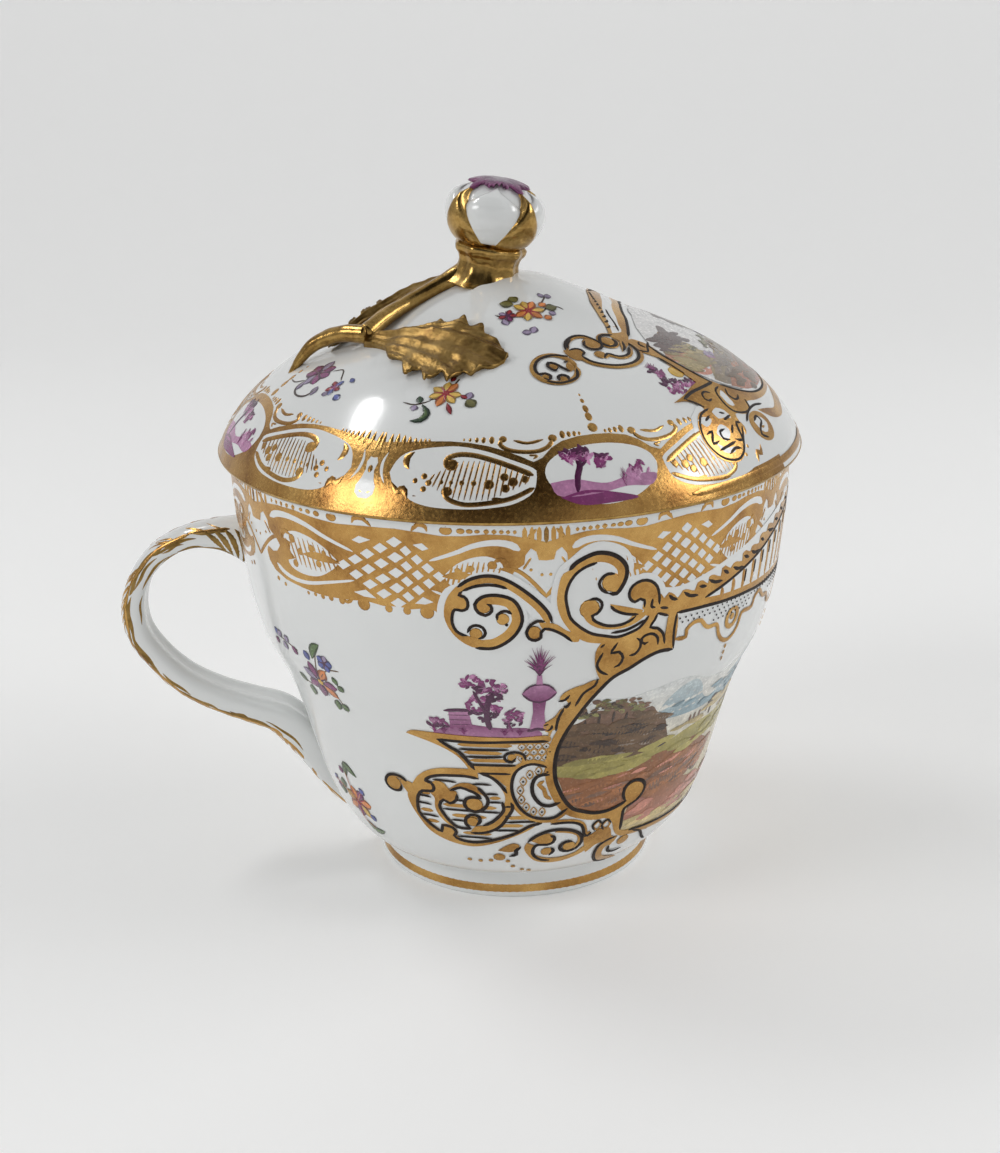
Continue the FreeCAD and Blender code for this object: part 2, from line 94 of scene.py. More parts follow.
class Chart:
    """A turned surface seen as a flat sheet: the angle round it in degrees, and a second measure."""

    def __init__(self, at):
        self.at = at
        self.known = {}

    def section(self, v):
        key = round(v, 3)
        if key not in self.known:
            r0, z0 = self.at(v)
            r1, z1 = self.at(v - 0.05)
            r2, z2 = self.at(v + 0.05)
            self.known[key] = (r0, z0, r2 - r1, z2 - z1)
        return self.known[key]

    def per_degree(self, v):
        return math.radians(self.section(v)[0])

    def stretch(self, v):
        """How many mm of surface one unit of the second measure covers."""
        section = self.section(v)
        return math.hypot(section[2], section[3]) / 0.1

    def normal(self, phi, v):
        run, climb = self.section(v)[2:]
        out, up = climb, -run
        if out * self.section(v)[0] < 0 or (abs(out) < 1e-9 and up < 0):
            out, up = -out, -up
        if self is LID and up < 0:
            out, up = -out, -up
        size = math.hypot(out, up)
        a = math.radians(phi)
        return Vector((out / size * math.cos(a), out / size * math.sin(a), up / size))

    def place(self, phi, v, lift=0):
        """The point over the surface at this angle and measure, lift mm off it, in metres."""
        r, z = self.section(v)[:2]
        a = math.radians(phi)
        return (Vector((r * math.cos(a), r * math.sin(a), z)) + self.normal(phi, v) * lift) * MM


CUP = Chart(lambda v: (cup_radius(v), v))
LID = Chart(lambda v: (v, RIM_HEIGHT + lid_rise(v)))


# Materials

def socket(shader, name, value):
    shader.inputs[name].default_value = value


def new_material(name):
    material = bpy.data.materials.new(name)
    material.use_nodes = True
    nodes, links = material.node_tree.nodes, material.node_tree.links
    shader = nodes["Principled BSDF"]
    return material, nodes, links, shader


def wire(links, source, outlet, target, inlet):
    links.new(source.outputs[outlet], target.inputs[inlet])


def mottle_group():
    """Soft clouds and fine specks over the surface, as two masks and one height."""
    group = bpy.data.node_groups.new("mottle", "ShaderNodeTree")
    face = group.interface
    for name, value in (("Cloud Scale", 60), ("Grain Scale", 900), ("Grain Share", 0.3)):
        item = face.new_socket(name=name, in_out="INPUT", socket_type="NodeSocketFloat")
        item.default_value = value
    for name in ("Clouds", "Grain", "Height"):
        face.new_socket(name=name, in_out="OUTPUT", socket_type="NodeSocketFloat")
    nodes, links = group.nodes, group.links
    entry = nodes.new("NodeGroupInput")
    leave = nodes.new("NodeGroupOutput")
    where = nodes.new("ShaderNodeTexCoord")
    mix = nodes.new("ShaderNodeMix")
    wire(links, entry, "Grain Share", mix, "Factor")
    for scale, mask, detail, inlet in (("Cloud Scale", "Clouds", 3, 2), ("Grain Scale", "Grain", 4, 3)):
        specks = nodes.new("ShaderNodeTexNoise")
        socket(specks, "Detail", detail)
        wire(links, where, "Object", specks, "Vector")
        wire(links, entry, scale, specks, "Scale")
        wire(links, specks, "Fac", mix, inlet)
        wire(links, specks, "Fac", leave, mask)
    wire(links, mix, 0, leave, "Height")
    return group


MOTTLE = mottle_group()


def add_mottle(nodes, cloud_scale, grain_scale, grain_share):
    node = nodes.new("ShaderNodeGroup")
    node.node_tree = MOTTLE
    socket(node, "Cloud Scale", cloud_scale)
    socket(node, "Grain Scale", grain_scale)
    socket(node, "Grain Share", grain_share)
    return node


def colour_range(nodes, links, mask, stops):
    ramp = nodes.new("ShaderNodeValToRGB")
    bands = ramp.color_ramp.elements
    bands[0].position, bands[0].color = stops[0][0], (*stops[0][1], 1)
    bands[1].position, bands[1].color = stops[-1][0], (*stops[-1][1], 1)
    for position, colour in stops[1:-1]:
        bands.new(position).color = (*colour, 1)
    links.new(mask, ramp.inputs["Fac"])
    return ramp.outputs["Color"]


def value_range(nodes, links, mask, low, high):
    span = nodes.new("ShaderNodeMapRange")
    for name, value in (("From Min", 0.3), ("From Max", 0.7), ("To Min", low), ("To Max", high)):
        socket(span, name, value)
    links.new(mask, span.inputs["Value"])
    return span.outputs["Result"]


def bump(nodes, links, height, strength, distance):
    node = nodes.new("ShaderNodeBump")
    socket(node, "Strength", strength)
    socket(node, "Distance", distance)
    links.new(height, node.inputs["Height"])
    return node.outputs["Normal"]


def mottled(name, scales, stops, values, tint_mask="Height", rough=None, relief=None):
    """A material whose tint follows the mottle, and where asked for its roughness and relief too."""
    material, nodes, links, shader = new_material(name)
    marks = add_mottle(nodes, *scales).outputs
    links.new(colour_range(nodes, links, marks[tint_mask], stops), shader.inputs["Base Color"])
    if rough:
        mask, low, high = rough
        links.new(value_range(nodes, links, marks[mask], low, high), shader.inputs["Roughness"])
    if relief:
        mask, strength, distance = relief
        links.new(bump(nodes, links, marks[mask], strength, distance), shader.inputs["Normal"])
    for inlet, value in values.items():
        socket(shader, inlet, value)
    return material


def glaze_material():
    stops = ((0.3, (0.755, 0.77, 0.76)), (0.7, (0.8, 0.81, 0.8)))
    values = {"Coat Weight": 0.5, "Coat Roughness": 0.09, "IOR": 1.5}
    return mottled("porcelain_glaze", (34, 1500, 0.12), stops, values, "Clouds", rough=("Clouds", 0.12,
        0.19), relief=("Height", 0.16, 0.0006))


def gilding_material():
    """Burnished gold laid with a brush: brighter where rubbed, browner where thin."""
    stops = ((0.3, (0.27, 0.125, 0.035)), (0.46, (0.47, 0.255, 0.075)), (0.7, (0.66, 0.4, 0.13)))
    return mottled("gilding_gold", (190, 2400, 0.25), stops, {"Metallic": 0.92}, rough=("Grain", 0.17, 0.3),
        relief=("Grain", 0.25, 0.00008))


def bronze_material(name, depth, smoothest, roughest):
    """The darker gold over the modelled stem, leaves and calyx, thin and brown in the hollows."""
    stops = ((0.28, (0.2, 0.1, 0.03)), (0.47, (0.43, 0.26, 0.075)), (0.72, (0.7, 0.46, 0.16)))
    stops = [(at, tuple(depth * c for c in tone)) for at, tone in stops]
    return mottled(name, (300, 1800, 0.4), stops, {"Metallic": 0.95}, rough=("Clouds", smoothest, roughest),
        relief=("Height", 0.35, 0.00025))


def outline_material():
    stops = ((0.35, (0.01, 0.008, 0.008)), (0.65, (0.04, 0.026, 0.02)))
    return mottled("outline_enamel", (400, 2400, 0.5), stops, {"Roughness": 0.5, "Specular IOR Level": 0.2})


def wash_material():
    """Painted enamels: the colour is on the mesh, and thins and pools as a brush leaves it."""
    stops = ((0.3, (0.72, 0.72, 0.72)), (0.52, (1, 1, 1)), (0.72, (1.3, 1.28, 1.25)))
    values = {"Coat Weight": 0.1, "Coat Roughness": 0.12}
    material = mottled("painted_enamel", (700, 2600, 0.45), stops, values, rough=("Grain", 0.14, 0.3))
    nodes, links = material.node_tree.nodes, material.node_tree.links
    inlet = nodes["Principled BSDF"].inputs["Base Color"]
    depth = inlet.links[0].from_socket
    colour = nodes.new("ShaderNodeAttribute")
    colour.attribute_name = "tint"
    mix = nodes.new("ShaderNodeMix")
    mix.data_type = "RGBA"
    mix.blend_type = "MULTIPLY"
    socket(mix, "Factor", 1)
    wire(links, colour, "Color", mix, 6)
    links.new(depth, mix.inputs[7])
    links.new(mix.outputs[2], inlet)
    return material


GLAZE = glaze_material()
GOLD = gilding_material()
BRONZE = bronze_material("stem_gold", 0.84, 0.15, 0.27)
LEAF_BRONZE = bronze_material("leaf_gold", 0.6, 0.3, 0.44)
BLACK = outline_material()
WASH = wash_material()


# Making meshes

def mesh_object(name, bm, material, angle=None):
    mesh = bpy.data.meshes.new(name)
    bm.to_mesh(mesh)
    bm.free()
    for polygon in mesh.polygons:
        polygon.use_smooth = True
    if angle:
        mesh.set_sharp_from_angle(angle=math.radians(angle))
    mesh.materials.append(material)
    made = bpy.data.objects.new(name, mesh)
    bpy.context.scene.collection.objects.link(made)
    return made


def turned(name, outline, material):
    """A solid turned round the upright axis from an outline of (radius, height) in mm."""
    bm = bmesh.new()
    rings = []
    for radius, height in outline:
        if radius < 1e-6:
            rings.append([bm.verts.new((0, 0, height * MM))])
            continue
        ring = []
        for k in range(ROUND_STEPS):
            a = 2 * math.pi * k / ROUND_STEPS
            ring.append(bm.verts.new((radius * math.cos(a) * MM, radius * math.sin(a) * MM, height * MM)))
        rings.append(ring)
    for low, high in zip(rings, rings[1:]):
        for k in range(ROUND_STEPS):
            j = (k + 1) % ROUND_STEPS
            corners = [low[k % len(low)], low[j % len(low)], high[j % len(high)], high[k % len(high)]]
            bm.faces.new([c for i, c in enumerate(corners) if c not in corners[:i]])
    bmesh.ops.recalc_face_normals(bm, faces=bm.faces)
    return mesh_object(name, bm, material, TURNED_EDGE)


def quarter(centre, radius, start, end, count=6):
    """Points on an arc from start to end degrees, for a rounded edge of an outline."""
    points = []
    for k in range(count + 1):
        a = math.radians(start + (end - start) * k / count)
        points.append((centre[0] + radius * math.cos(a), centre[1] + radius * math.sin(a)))
    return points


def frange(start, end, step):
    count = max(1, round(abs(end - start) / step))
    return [start + (end - start) * k / count for k in range(count + 1)]


def cup_bowl():
    outside = [(cup_radius(z), z) for z in frange(4, RIM_HEIGHT - 0.7, 0.7)]
    foot = [(0, 2.2), (15.5, 2.2)] + quarter((16.3, 1.4), 0.8, 90, 0) + quarter((18, 0.5), 0.5, 200, 270)
    foot += quarter((19.6, 0.55), 0.55, 270, 360) + [(19.95, 2.2), (19.68, 3.6)]
    rim = quarter((RIM_RADIUS - 0.75, RIM_HEIGHT - 0.75), 0.75, 0, 90)
    rim += quarter((RIM_RADIUS - WALL + 0.75, RIM_HEIGHT - 0.75), 0.75, 90, 180)
    inside = []
    for z in frange(RIM_HEIGHT - 1.6, 11, 0.9):
        radius, height, run, climb = CUP.section(z)
        size = math.hypot(run, climb)
        inside.append((radius - WALL * climb / size, height + WALL * run / size))
    inside = [p for p in inside if p[1] < RIM_HEIGHT - 1]
    floor = [(22.6, 9.4), (20.4, 7.4), (17.2, 6.1), (13, 5.6), (6, 5.42), (0, 5.4)]
    return turned("cup_bowl", foot + outside + rim + inside + floor, GLAZE)


def lid_dome():
    top = [(r, RIM_HEIGHT + lid_rise(r)) for r in frange(0, 34, 0.7)]
    top += [(r, RIM_HEIGHT + lid_rise(r)) for r in frange(34.3, LID_RADIUS, 0.25)]
    edge = quarter((LID_RADIUS - 0.45, RIM_HEIGHT + 0.45), 0.45, -20, -90, 4) + [(37.4, RIM_HEIGHT)]
    flange = quarter((36.9, RIM_HEIGHT - 0.7), 0.7, 90, 180, 4)
    flange += quarter((35.6, RIM_HEIGHT - 3.4), 0.6, 0, -90, 4)
    flange += quarter((34.6, RIM_HEIGHT - 3.4), 0.6, 270, 180, 4) + [(34, RIM_HEIGHT + 0.5)]
    under = []
    for r in frange(35, 0, 0.9):
        radius, height, run, climb = LID.section(max(r, 0.06))
        size = math.hypot(run, climb)
        under.append((max(0, radius + LID_WALL * climb / size), height - LID_WALL * run / size))
    under = [p for p in under if p[0] < 33.6 and p[1] > RIM_HEIGHT + 1.5]
    under = [p for p in under if p[0] > 0.5] + [(0, RIM_HEIGHT + 21.1)]
    return turned("lid_dome", top + edge + flange + under, GLAZE)


def spline(points, step):
    """A smooth run through points of any number of measures, about step between its points."""
    vectors = [Vector(p) for p in points]
    ends = [2 * vectors[0] - vectors[1]] + vectors + [2 * vectors[-1] - vectors[-2]]
    run = []
    for i in range(1, len(ends) - 2):
        p0, p1, p2, p3 = ends[i - 1:i + 3]
        k0 = max((p1 - p0).length, 1e-6) ** 0.5
        k1 = max((p2 - p1).length, 1e-6) ** 0.5
        k2 = max((p3 - p2).length, 1e-6) ** 0.5
        m1 = (p2 - p1) / k1 - (p2 - p0) / (k0 + k1) + (p1 - p0) / k0
        m2 = (p3 - p2) / k2 - (p3 - p1) / (k1 + k2) + (p2 - p1) / k1
        m1, m2 = m1 * k1, m2 * k1
        count = max(1, math.ceil((p2 - p1).length / step))
        for k in range(count):
            t = k / count
            a = 2 * t ** 3 - 3 * t ** 2 + 1
            b = t ** 3 - 2 * t ** 2 + t
            c = t ** 3 - t ** 2
            run.append(p1 * a + m1 * b + p2 * (1 - a) + m2 * c)
    run.append(vectors[-1])
    return run


def skinned(name, bm, rings, material):
    """A closed skin over rings of the same number of points, with both ends filled."""
    count = len(rings[0])
    for low, high in zip(rings, rings[1:]):
        for k in range(count):
            j = (k + 1) % count
            bm.faces.new((low[k], low[j], high[j], high[k]))
    bm.faces.new(rings[0][::-1])
    bm.faces.new(rings[-1])
    bmesh.ops.recalc_face_normals(bm, faces=bm.faces)
    return mesh_object(name, bm, material)


def lofted(name, sections, material):
    bm = bmesh.new()
    return skinned(name, bm, [[bm.verts.new(p) for p in ring] for ring in sections], material)


def closed_sheet(name, bm, top, under, material):
    """A closed skin round two grids of points, one over the other."""
    for grid, way in ((top, 1), (under, -1)):
        for low, high in zip(grid, grid[1:]):
            for j in range(len(low) - 1):
                bm.faces.new((low[j], low[j + 1], high[j + 1], high[j])[::way])
    for i in range(len(top) - 1):
        bm.faces.new((top[i][0], top[i + 1][0], under[i + 1][0], under[i][0]))
        bm.faces.new((top[i + 1][-1], top[i][-1], under[i][-1], under[i + 1][-1]))
    for j in range(len(top[0]) - 1):
        bm.faces.new((top[0][j + 1], top[0][j], under[0][j], under[0][j + 1]))
        bm.faces.new((top[-1][j], top[-1][j + 1], under[-1][j + 1], under[-1][j]))
    bmesh.ops.recalc_face_normals(bm, faces=bm.faces)
    return mesh_object(name, bm, material)


# The handle, as (distance out, height, thickness, width) down its middle line, in mm.
HANDLE = ((36.2, 47.4, 9.4, 8), (39.2, 48.4, 6.6, 7.4), (42.6, 48.9, 4.6, 6.2), (46.6, 48.5, 3.6, 5.5),
    (50.4, 46.6, 3.5, 5.4), (53.4, 43.2, 3.6, 5.5), (54.9, 38.6, 4.2, 5.7), (54.5, 34.6, 4.4, 5.9), (52.3,
    30.9, 4.4, 6.1), (48.6, 27.1, 4.6, 6.5), (43.9, 24.4, 4.9, 6.9), (39, 22.6, 5.2, 7.3), (34.6, 21, 5.8,
    7.6), (31, 17.6, 6.4, 7.2), (28.8, 13.6, 5.2, 5.6), (26.9, 9.8, 3.8, 4), (24.4, 6.6, 2.6, 2.6), (22.6,
    5.4, 1.6, 1.6))


def outward(i):
    """The way out of the handle's curve at one of its stations."""
    before = HANDLE_RUN[max(i - 1, 0)]
    after = HANDLE_RUN[min(i + 1, len(HANDLE_RUN) - 1)]
    along = Vector((after[0] - before[0], after[1] - before[1])).normalized()
    return Vector((-along[1], along[0]))


def handle_spot(station, out, angle):
    """A point round the handle: a crowned outer face and a flatter, slightly hollow inner one."""
    c, s = math.cos(math.radians(angle)), math.sin(math.radians(angle))
    side = math.copysign(abs(c) ** 0.72, c) * station[3] / 2
    rise = math.copysign(abs(s) ** 0.85, s) * station[2] / 2
    if s < 0:
        rise *= 0.86 - 0.3 * (1 - abs(c)) ** 1.5
    return Vector((-(station[0] + out[0] * rise), side, station[1] + out[1] * rise)) * MM


HANDLE_TURNS = 40
HANDLE_RUN = spline(HANDLE, 0.9)


def cup_handle():
    rings = []
    for i, station in enumerate(HANDLE_RUN):
        out = outward(i)
        rings.append([handle_spot(station, out, 360 * k / HANDLE_TURNS) for k in range(HANDLE_TURNS)])
    return lofted("cup_handle", rings, GLAZE)


# The finial

NECK_FLUTES = 9
BUD_FOOT = Vector((-2.2, 0, RIM_HEIGHT + 23.9 + 3.4))
BUD_AXIS = Vector((math.sin(math.radians(9)), 0, math.cos(math.radians(9))))


def bud_point(turn, rise, radius):
    """A point round the leaning bud, at turn degrees, rise mm up its axis."""
    side = Vector((0, 1, 0))
    across = side.cross(BUD_AXIS)
    a = math.radians(turn)
    return (BUD_FOOT + BUD_AXIS * rise + (across * math.cos(a) + side * math.sin(a)) * radius) * MM


def rings_on_bud(shape, steps, flute=0):
    rings = []
    for rise, radius in shape:
        ring = []
        for k in range(steps):
            turn = 360 * k / steps
            wave = 1 + flute * math.cos(math.radians(turn * NECK_FLUTES))
            ring.append(bud_point(turn, rise, radius * wave))
        rings.append(ring)
    return rings


def petal(name, turn, half_turn, foot, tip, line, thick, material, point=0.5, flare=0, taper=0.55):
    """A curved, closed petal round the bud: line gives the bud's radius at each rise."""
    rows, columns = 26, 17
    bm = bmesh.new()
    outer, inner = [], []
    for i in range(rows):
        t = i / (rows - 1)
        rise = foot + (tip - foot) * t
        spread = half_turn * (1 - t ** (1 / point) * 0.98) ** taper
        row_out, row_in = [], []
        for j in range(columns):
            u = 2 * j / (columns - 1) - 1
            edge = (1 - abs(u) ** 3) * min(1, (1 - t) * 7 + 0.18)
            drop = rise - (tip - foot) * 0.1 * t * u * u
            radius = line(drop) + flare * t ** 3 + 0.1
            row_out.append(bm.verts.new(bud_point(turn + spread * u, drop, radius + thick * edge)))
            row_in.append(bm.verts.new(bud_point(turn + spread * u, drop, radius - 0.45)))
        outer.append(row_out)
        inner.append(row_in)
    return closed_sheet(name, bm, outer, inner, material)


BUD_SHAPE = ((0, 2), (0.6, 3.6), (1.8, 4.9), (3.2, 5.7), (4.6, 6), (5.9, 5.85), (7.1, 5.1), (8.1, 3.9),
    (8.8, 2.4), (9.1, 1), (9.15, 0.3))
bud_radius = smooth_line(BUD_SHAPE)


def finial_pieces():
    made = []
    bud = lofted("lid_bud", rings_on_bud([(r, bud_radius(r)) for r in frange(0, 9.1, 0.3)], 64), GLAZE)
    made.append((bud, "cover_glaze"))
    for k, turn in enumerate((-95, -8, 82, 172)):
        leaf = petal(f"bud_petal_{k}", turn, 52 - 4 * (k % 2), 1, 8.5 - 0.4 * (k % 2), bud_radius, 0.8,
            GLAZE, point=0.34)
        made.append((leaf, "cover_glaze"))
    for k, turn in enumerate((-50, 40, 130, -140)):
        leaf = petal(f"bud_sepal_{k}", turn, 57, -0.6, 8.4, bud_radius, 1.4, BRONZE, point=1, flare=0.35,
            taper=1.2)
        made.append((leaf, "gilding"))
    shape = ((-5.2, 5.9), (-4.4, 5), (-3.2, 4.3), (-2.2, 4.1), (-1.3, 4.3), (-0.6, 4.8), (0, 4.9), (0.4,
        4.6))
    line = smooth_line(shape)
    rings = rings_on_bud([(r, line(r)) for r in frange(-5.2, 0.4, 0.2)], 96, 0.035)
    made.append((lofted("lid_neck", rings, BRONZE), "gilding"))
    made.append((bud_tip(), "enamel"))
    return made


def bud_tip():
    """The purple crown of the bud, feathered down over the petals."""
    random.seed(3)
    steps, rows = 120, 7
    bm = bmesh.new()
    tints = bm.verts.layers.float_color.new("tint")
    deep, light = Vector((0.085, 0.018, 0.075)), Vector((0.3, 0.09, 0.22))
    rings = []
    reach = []
    for k in range(steps):
        ragged = max(0, noise.noise(Vector((k * 0.17, 2, 0))))
        reach.append(random.uniform(0.25, 0.9) + 0.75 * ragged * 2)
    for side, lift in ((1, 0.86), (-1, 0.1)):
        for i in range(rows)[::side]:
            ring = []
            for k in range(steps):
                rise = 9.12 - reach[k] * ((i + 0.2) / rows) ** 1.4
                vertex = bm.verts.new(bud_point(360 * k / steps, rise + (0.25 if side > 0 else 0),
                    bud_radius(rise) + lift * min(1, (i + 0.4) / 2)))
                share = i / (rows - 1) * (0.5 + 0.5 * noise.noise(Vector((k * 0.35, i * 0.3, 0))))
                vertex[tints] = (*deep.lerp(light, max(0, min(1, share * 1.3))), 1)
                ring.append(vertex)
            rings.append(ring)
    return skinned("bud_purple_tip", bm, rings, WASH)


TUBE_TURNS = 20
STEM = ((-3.2, 0.3, 1.3, 2.4), (-6, -0.5, 0.8, 1.7), (-9.2, -1.7, 0.8, 1.2), (-13.2, -3.6, 1, 1.05), (-16.6,
    -6.6, 1.4, 1.2), (-19.2, -10, 1.4, 1.3))
TWIG = ((-18.8, -10.2, 1.3, 1.3), (-22, -8.6, 2.1, 1.2), (-24.4, -7.4, 2.2, 1.1), (-26.6, -6.8, 1.9, 0.95),
    (-28.4, -6.6, 0.9, 0.7), (-29.8, -6.6, -0.4, 0.45))


def over_lid(x, y, rise):
    """The point rise mm over the lid above (x, y), in mm."""
    return Vector((x, y, RIM_HEIGHT + lid_rise(math.hypot(x, y)) + rise))


def tube(name, points):
    """A knobbly gilt twig through places over the lid, given as (x, y, rise, radius) in mm."""
    run = spline([(*over_lid(x, y, rise), radius) for x, y, rise, radius in points], 0.5)
    rings = []
    for i, here in enumerate(run):
        before, after = run[max(i - 1, 0)], run[min(i + 1, len(run) - 1)]
        along = (after.xyz - before.xyz).normalized()
        side = along.cross(Vector((0, 0, 1))).normalized()
        up = side.cross(along)
        ring = []
        for k in range(TUBE_TURNS):
            a = 2 * math.pi * k / TUBE_TURNS
            bulge = 1 + 0.06 * noise.noise(here.xyz * 0.9 + Vector((math.cos(a), math.sin(a), 0)) * 0.8)
            ring.append((here.xyz + (side * math.cos(a) + up * math.sin(a)) * here[3] * bulge) * MM)
        rings.append(ring)
    return lofted(name, rings, BRONZE)


LEAF_LENGTH = 22.8
VEINS, FINE_VEINS = 21, 57
BROAD_LOBES = ((6, 4.6), (10.2, 7.6), (14.2, 8.5), (17.6, 7.6), (19.8, 5.2), (21.6, 2.8))
NARROW_LOBES = ((6.4, 2.2), (9.6, 3.5), (12.9, 4.4), (16.2, 4), (19.2, 2.4))


def lobed_edge(lobes):
    """How far the leaf's edge is from its midrib, at a distance along it."""
    knots = [(0, 0.9)]
    for k, (at, width) in enumerate(lobes):
        before_at = lobes[k - 1][0] if k else 2.4
        before_width = lobes[k - 1][1] if k else 1.2
        knots.append(((before_at + at) / 2, 0.8 * (before_width + width) / 2))
        knots.append((at, width))
    knots.append((LEAF_LENGTH, 0.25))
    return smooth_line(knots)


def leaf(name, base, tip, broad_side, rise):
    """A gilt leaf laid over the lid, its lobes cupped and its veins raised."""
    broad, narrow = lobed_edge(BROAD_LOBES), lobed_edge(NARROW_LOBES)
    start, end = Vector(base), Vector(tip)
    along = (end - start).normalized()
    across = Vector((-along.y, along.x)) * broad_side
    size = (end - start).length / LEAF_LENGTH
    rows, columns = 120, 41
    bm = bmesh.new()
    top, under = [], []
    for i in range(rows):
        s = LEAF_LENGTH * i / (rows - 1)
        row, row_under = [], []
        for j in range(columns):
            t = 2 * j / (columns - 1) - 1
            width = broad(s) if t > 0 else narrow(s)
            out = t * width
            lean = 0.3 * abs(out)
            spot = start + along * (s + lean * (1 - s / LEAF_LENGTH)) * size + across * out * size
            fan = math.atan2(out, s + 3)
            wander = 0.6 * noise.noise(Vector((s * 0.3, out * 0.3, 0)))
            veins = abs(math.sin(fan * VEINS + wander)) ** 0.7
            veins += 0.55 * abs(math.sin(fan * FINE_VEINS + 2 * wander))
            veins *= 0.8 * min(1, s / 4)
            lobe_share = broad(s) / 8.5 if t > 0 else narrow(s) / 4.4
            cup = 0.75 * abs(t) ** 2.2 * lobe_share
            swell = 0.9 * math.sin(math.pi * min(1, s / LEAF_LENGTH)) * (1 - abs(t)) ** 0.8
            ripple = 0.16 * noise.noise(Vector((s * 0.5, out * 0.7, rise)))
            edge = min(1, (1 - abs(t)) * 5, (LEAF_LENGTH - s) / 1.2 + 0.1)
            midrib = 0.45 * math.exp(-(out / 0.7) ** 2) * (1 - 0.6 * s / LEAF_LENGTH)
            height = rise - 0.4 + swell + cup + ripple - 0.42 * veins * (0.35 + abs(t)) + midrib
            height = max(height, 0.35)
            point = over_lid(spot.x, spot.y, height)
            row.append(bm.verts.new(point * MM))
            row_under.append(bm.verts.new(over_lid(spot.x, spot.y, height - 0.3 - 0.75 * edge) * MM))
        top.append(row)
        under.append(row_under)
    return closed_sheet(name, bm, top, under, LEAF_BRONZE)


def carried(piece, slot, *nodes):
    """Every piece rides on the one body. The finish given as slot is not used."""
    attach(piece, "root")
    if nodes:
        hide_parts(*nodes)


carried(cup_bowl(), "cup_glaze", "cup")
carried(cup_handle(), "cup_glaze")
carried(lid_dome(), "cover_glaze", "cover")
carried(turned("cover_edge_line", quarter((LID_RADIUS - 0.4, RIM_HEIGHT + 0.42), 0.46, -88, 2,
    8) + [(LID_RADIUS - 0.6, RIM_HEIGHT + 0.6), (LID_RADIUS - 0.8, RIM_HEIGHT + 0.2)], BRONZE), "gilding")
for piece, finish in finial_pieces():
    carried(piece, finish)
carried(tube("lid_stem", STEM), "gilding")
carried(tube("lid_twig", TWIG), "gilding")
carried(leaf("leaf_front", (-19.2, -10), (-0.2, -21.6), -1, 1.3), "gilding")
carried(leaf("leaf_rear", (-24.4, -6.6), (-9, 4.6), 1, 1.7), "gilding")


# Painting on the turned surfaces

class HandleSheet:
    """The handle seen as a flat sheet: the angle round its strap, and mm along it from the rim end."""

    def __init__(self):
        self.lengths = [0]
        for before, after in zip(HANDLE_RUN, HANDLE_RUN[1:]):
            self.lengths.append(self.lengths[-1] + (after.xy - before.xy).length)

    def per_degree(self, v):
        return math.radians(3)

    def stretch(self, v):
        return 1

    def surface(self, phi, v):
        v = min(max(v, 0), self.lengths[-1] - 0.001)
        i = 0
        while self.lengths[i + 1] < v:
            i += 1
        t = (v - self.lengths[i]) / (self.lengths[i + 1] - self.lengths[i])
        spots = [handle_spot(HANDLE_RUN[k], outward(k), phi) for k in (i, i + 1)]
        return spots[0].lerp(spots[1], t)

    def place(self, phi, v, lift=0):
        here = self.surface(phi, v)
        round_it = self.surface(phi + 2, v) - self.surface(phi - 2, v)
        along = self.surface(phi, v + 0.4) - self.surface(phi, v - 0.4)
        return here + along.cross(round_it).normalized() * lift * MM

    def normal(self, phi, v):
        return (self.place(phi, v, 1) - self.place(phi, v, 0)).normalized()


def pairs(flat):
    """A flat row a,b, c,d and so on, as the points (a, b), (c, d) and so on."""
    return list(zip(flat[::2], flat[1::2]))


def same(phi):
    return phi


def mirror(phi):
    """The same place on the other side of the cup's front."""
    return -phi


def mirror_side(phi):
    """The same place on the handle's other side."""
    return 180 - phi


def dot_tree():
    """A low dome on each point, as wide, tall and high as the point says, in the material given."""
    tree = bpy.data.node_groups.new("painted_dots", "GeometryNodeTree")
    face = tree.interface
    face.new_socket(name="Geometry", in_out="INPUT", socket_type="NodeSocketGeometry")
    face.new_socket(name="Sides", in_out="INPUT", socket_type="NodeSocketInt").default_value = 12
    face.new_socket(name="Rings", in_out="INPUT", socket_type="NodeSocketInt").default_value = 6
    face.new_socket(name="Material", in_out="INPUT", socket_type="NodeSocketMaterial")
    face.new_socket(name="Geometry", in_out="OUTPUT", socket_type="NodeSocketGeometry")
    nodes, links = tree.nodes, tree.links
    entry, leave = nodes.new("NodeGroupInput"), nodes.new("NodeGroupOutput")
    dome = nodes.new("GeometryNodeMeshUVSphere")
    wire(links, entry, "Sides", dome, "Segments")
    wire(links, entry, "Rings", dome, "Rings")
    place = nodes.new("GeometryNodeInstanceOnPoints")
    wire(links, entry, "Geometry", place, "Points")
    wire(links, dome, "Mesh", place, "Instance")

    def said(name):
        read = nodes.new("GeometryNodeInputNamedAttribute")
        read.data_type = "FLOAT_VECTOR"
        socket(read, "Name", name)
        return read

    turned_to = None
    for name, axis, pivot in (("facing", "Z", "AUTO"), ("upward", "Y", "Z")):
        align = nodes.new("FunctionNodeAlignRotationToVector")
        align.axis, align.pivot_axis = axis, pivot
        wire(links, said(name), "Attribute", align, "Vector")
        if turned_to:
            wire(links, turned_to, "Rotation", align, "Rotation")
        turned_to = align
    wire(links, turned_to, "Rotation", place, "Rotation")
    wire(links, said("size"), "Attribute", place, "Scale")
    real = nodes.new("GeometryNodeRealizeInstances")
    finish = nodes.new("GeometryNodeSetMaterial")
    wire(links, place, "Instances", real, "Geometry")
    wire(links, real, "Geometry", finish, "Geometry")
    wire(links, entry, "Material", finish, "Material")
    wire(links, finish, "Geometry", leave, "Geometry")
    return tree


DOT_TREE = dot_tree()


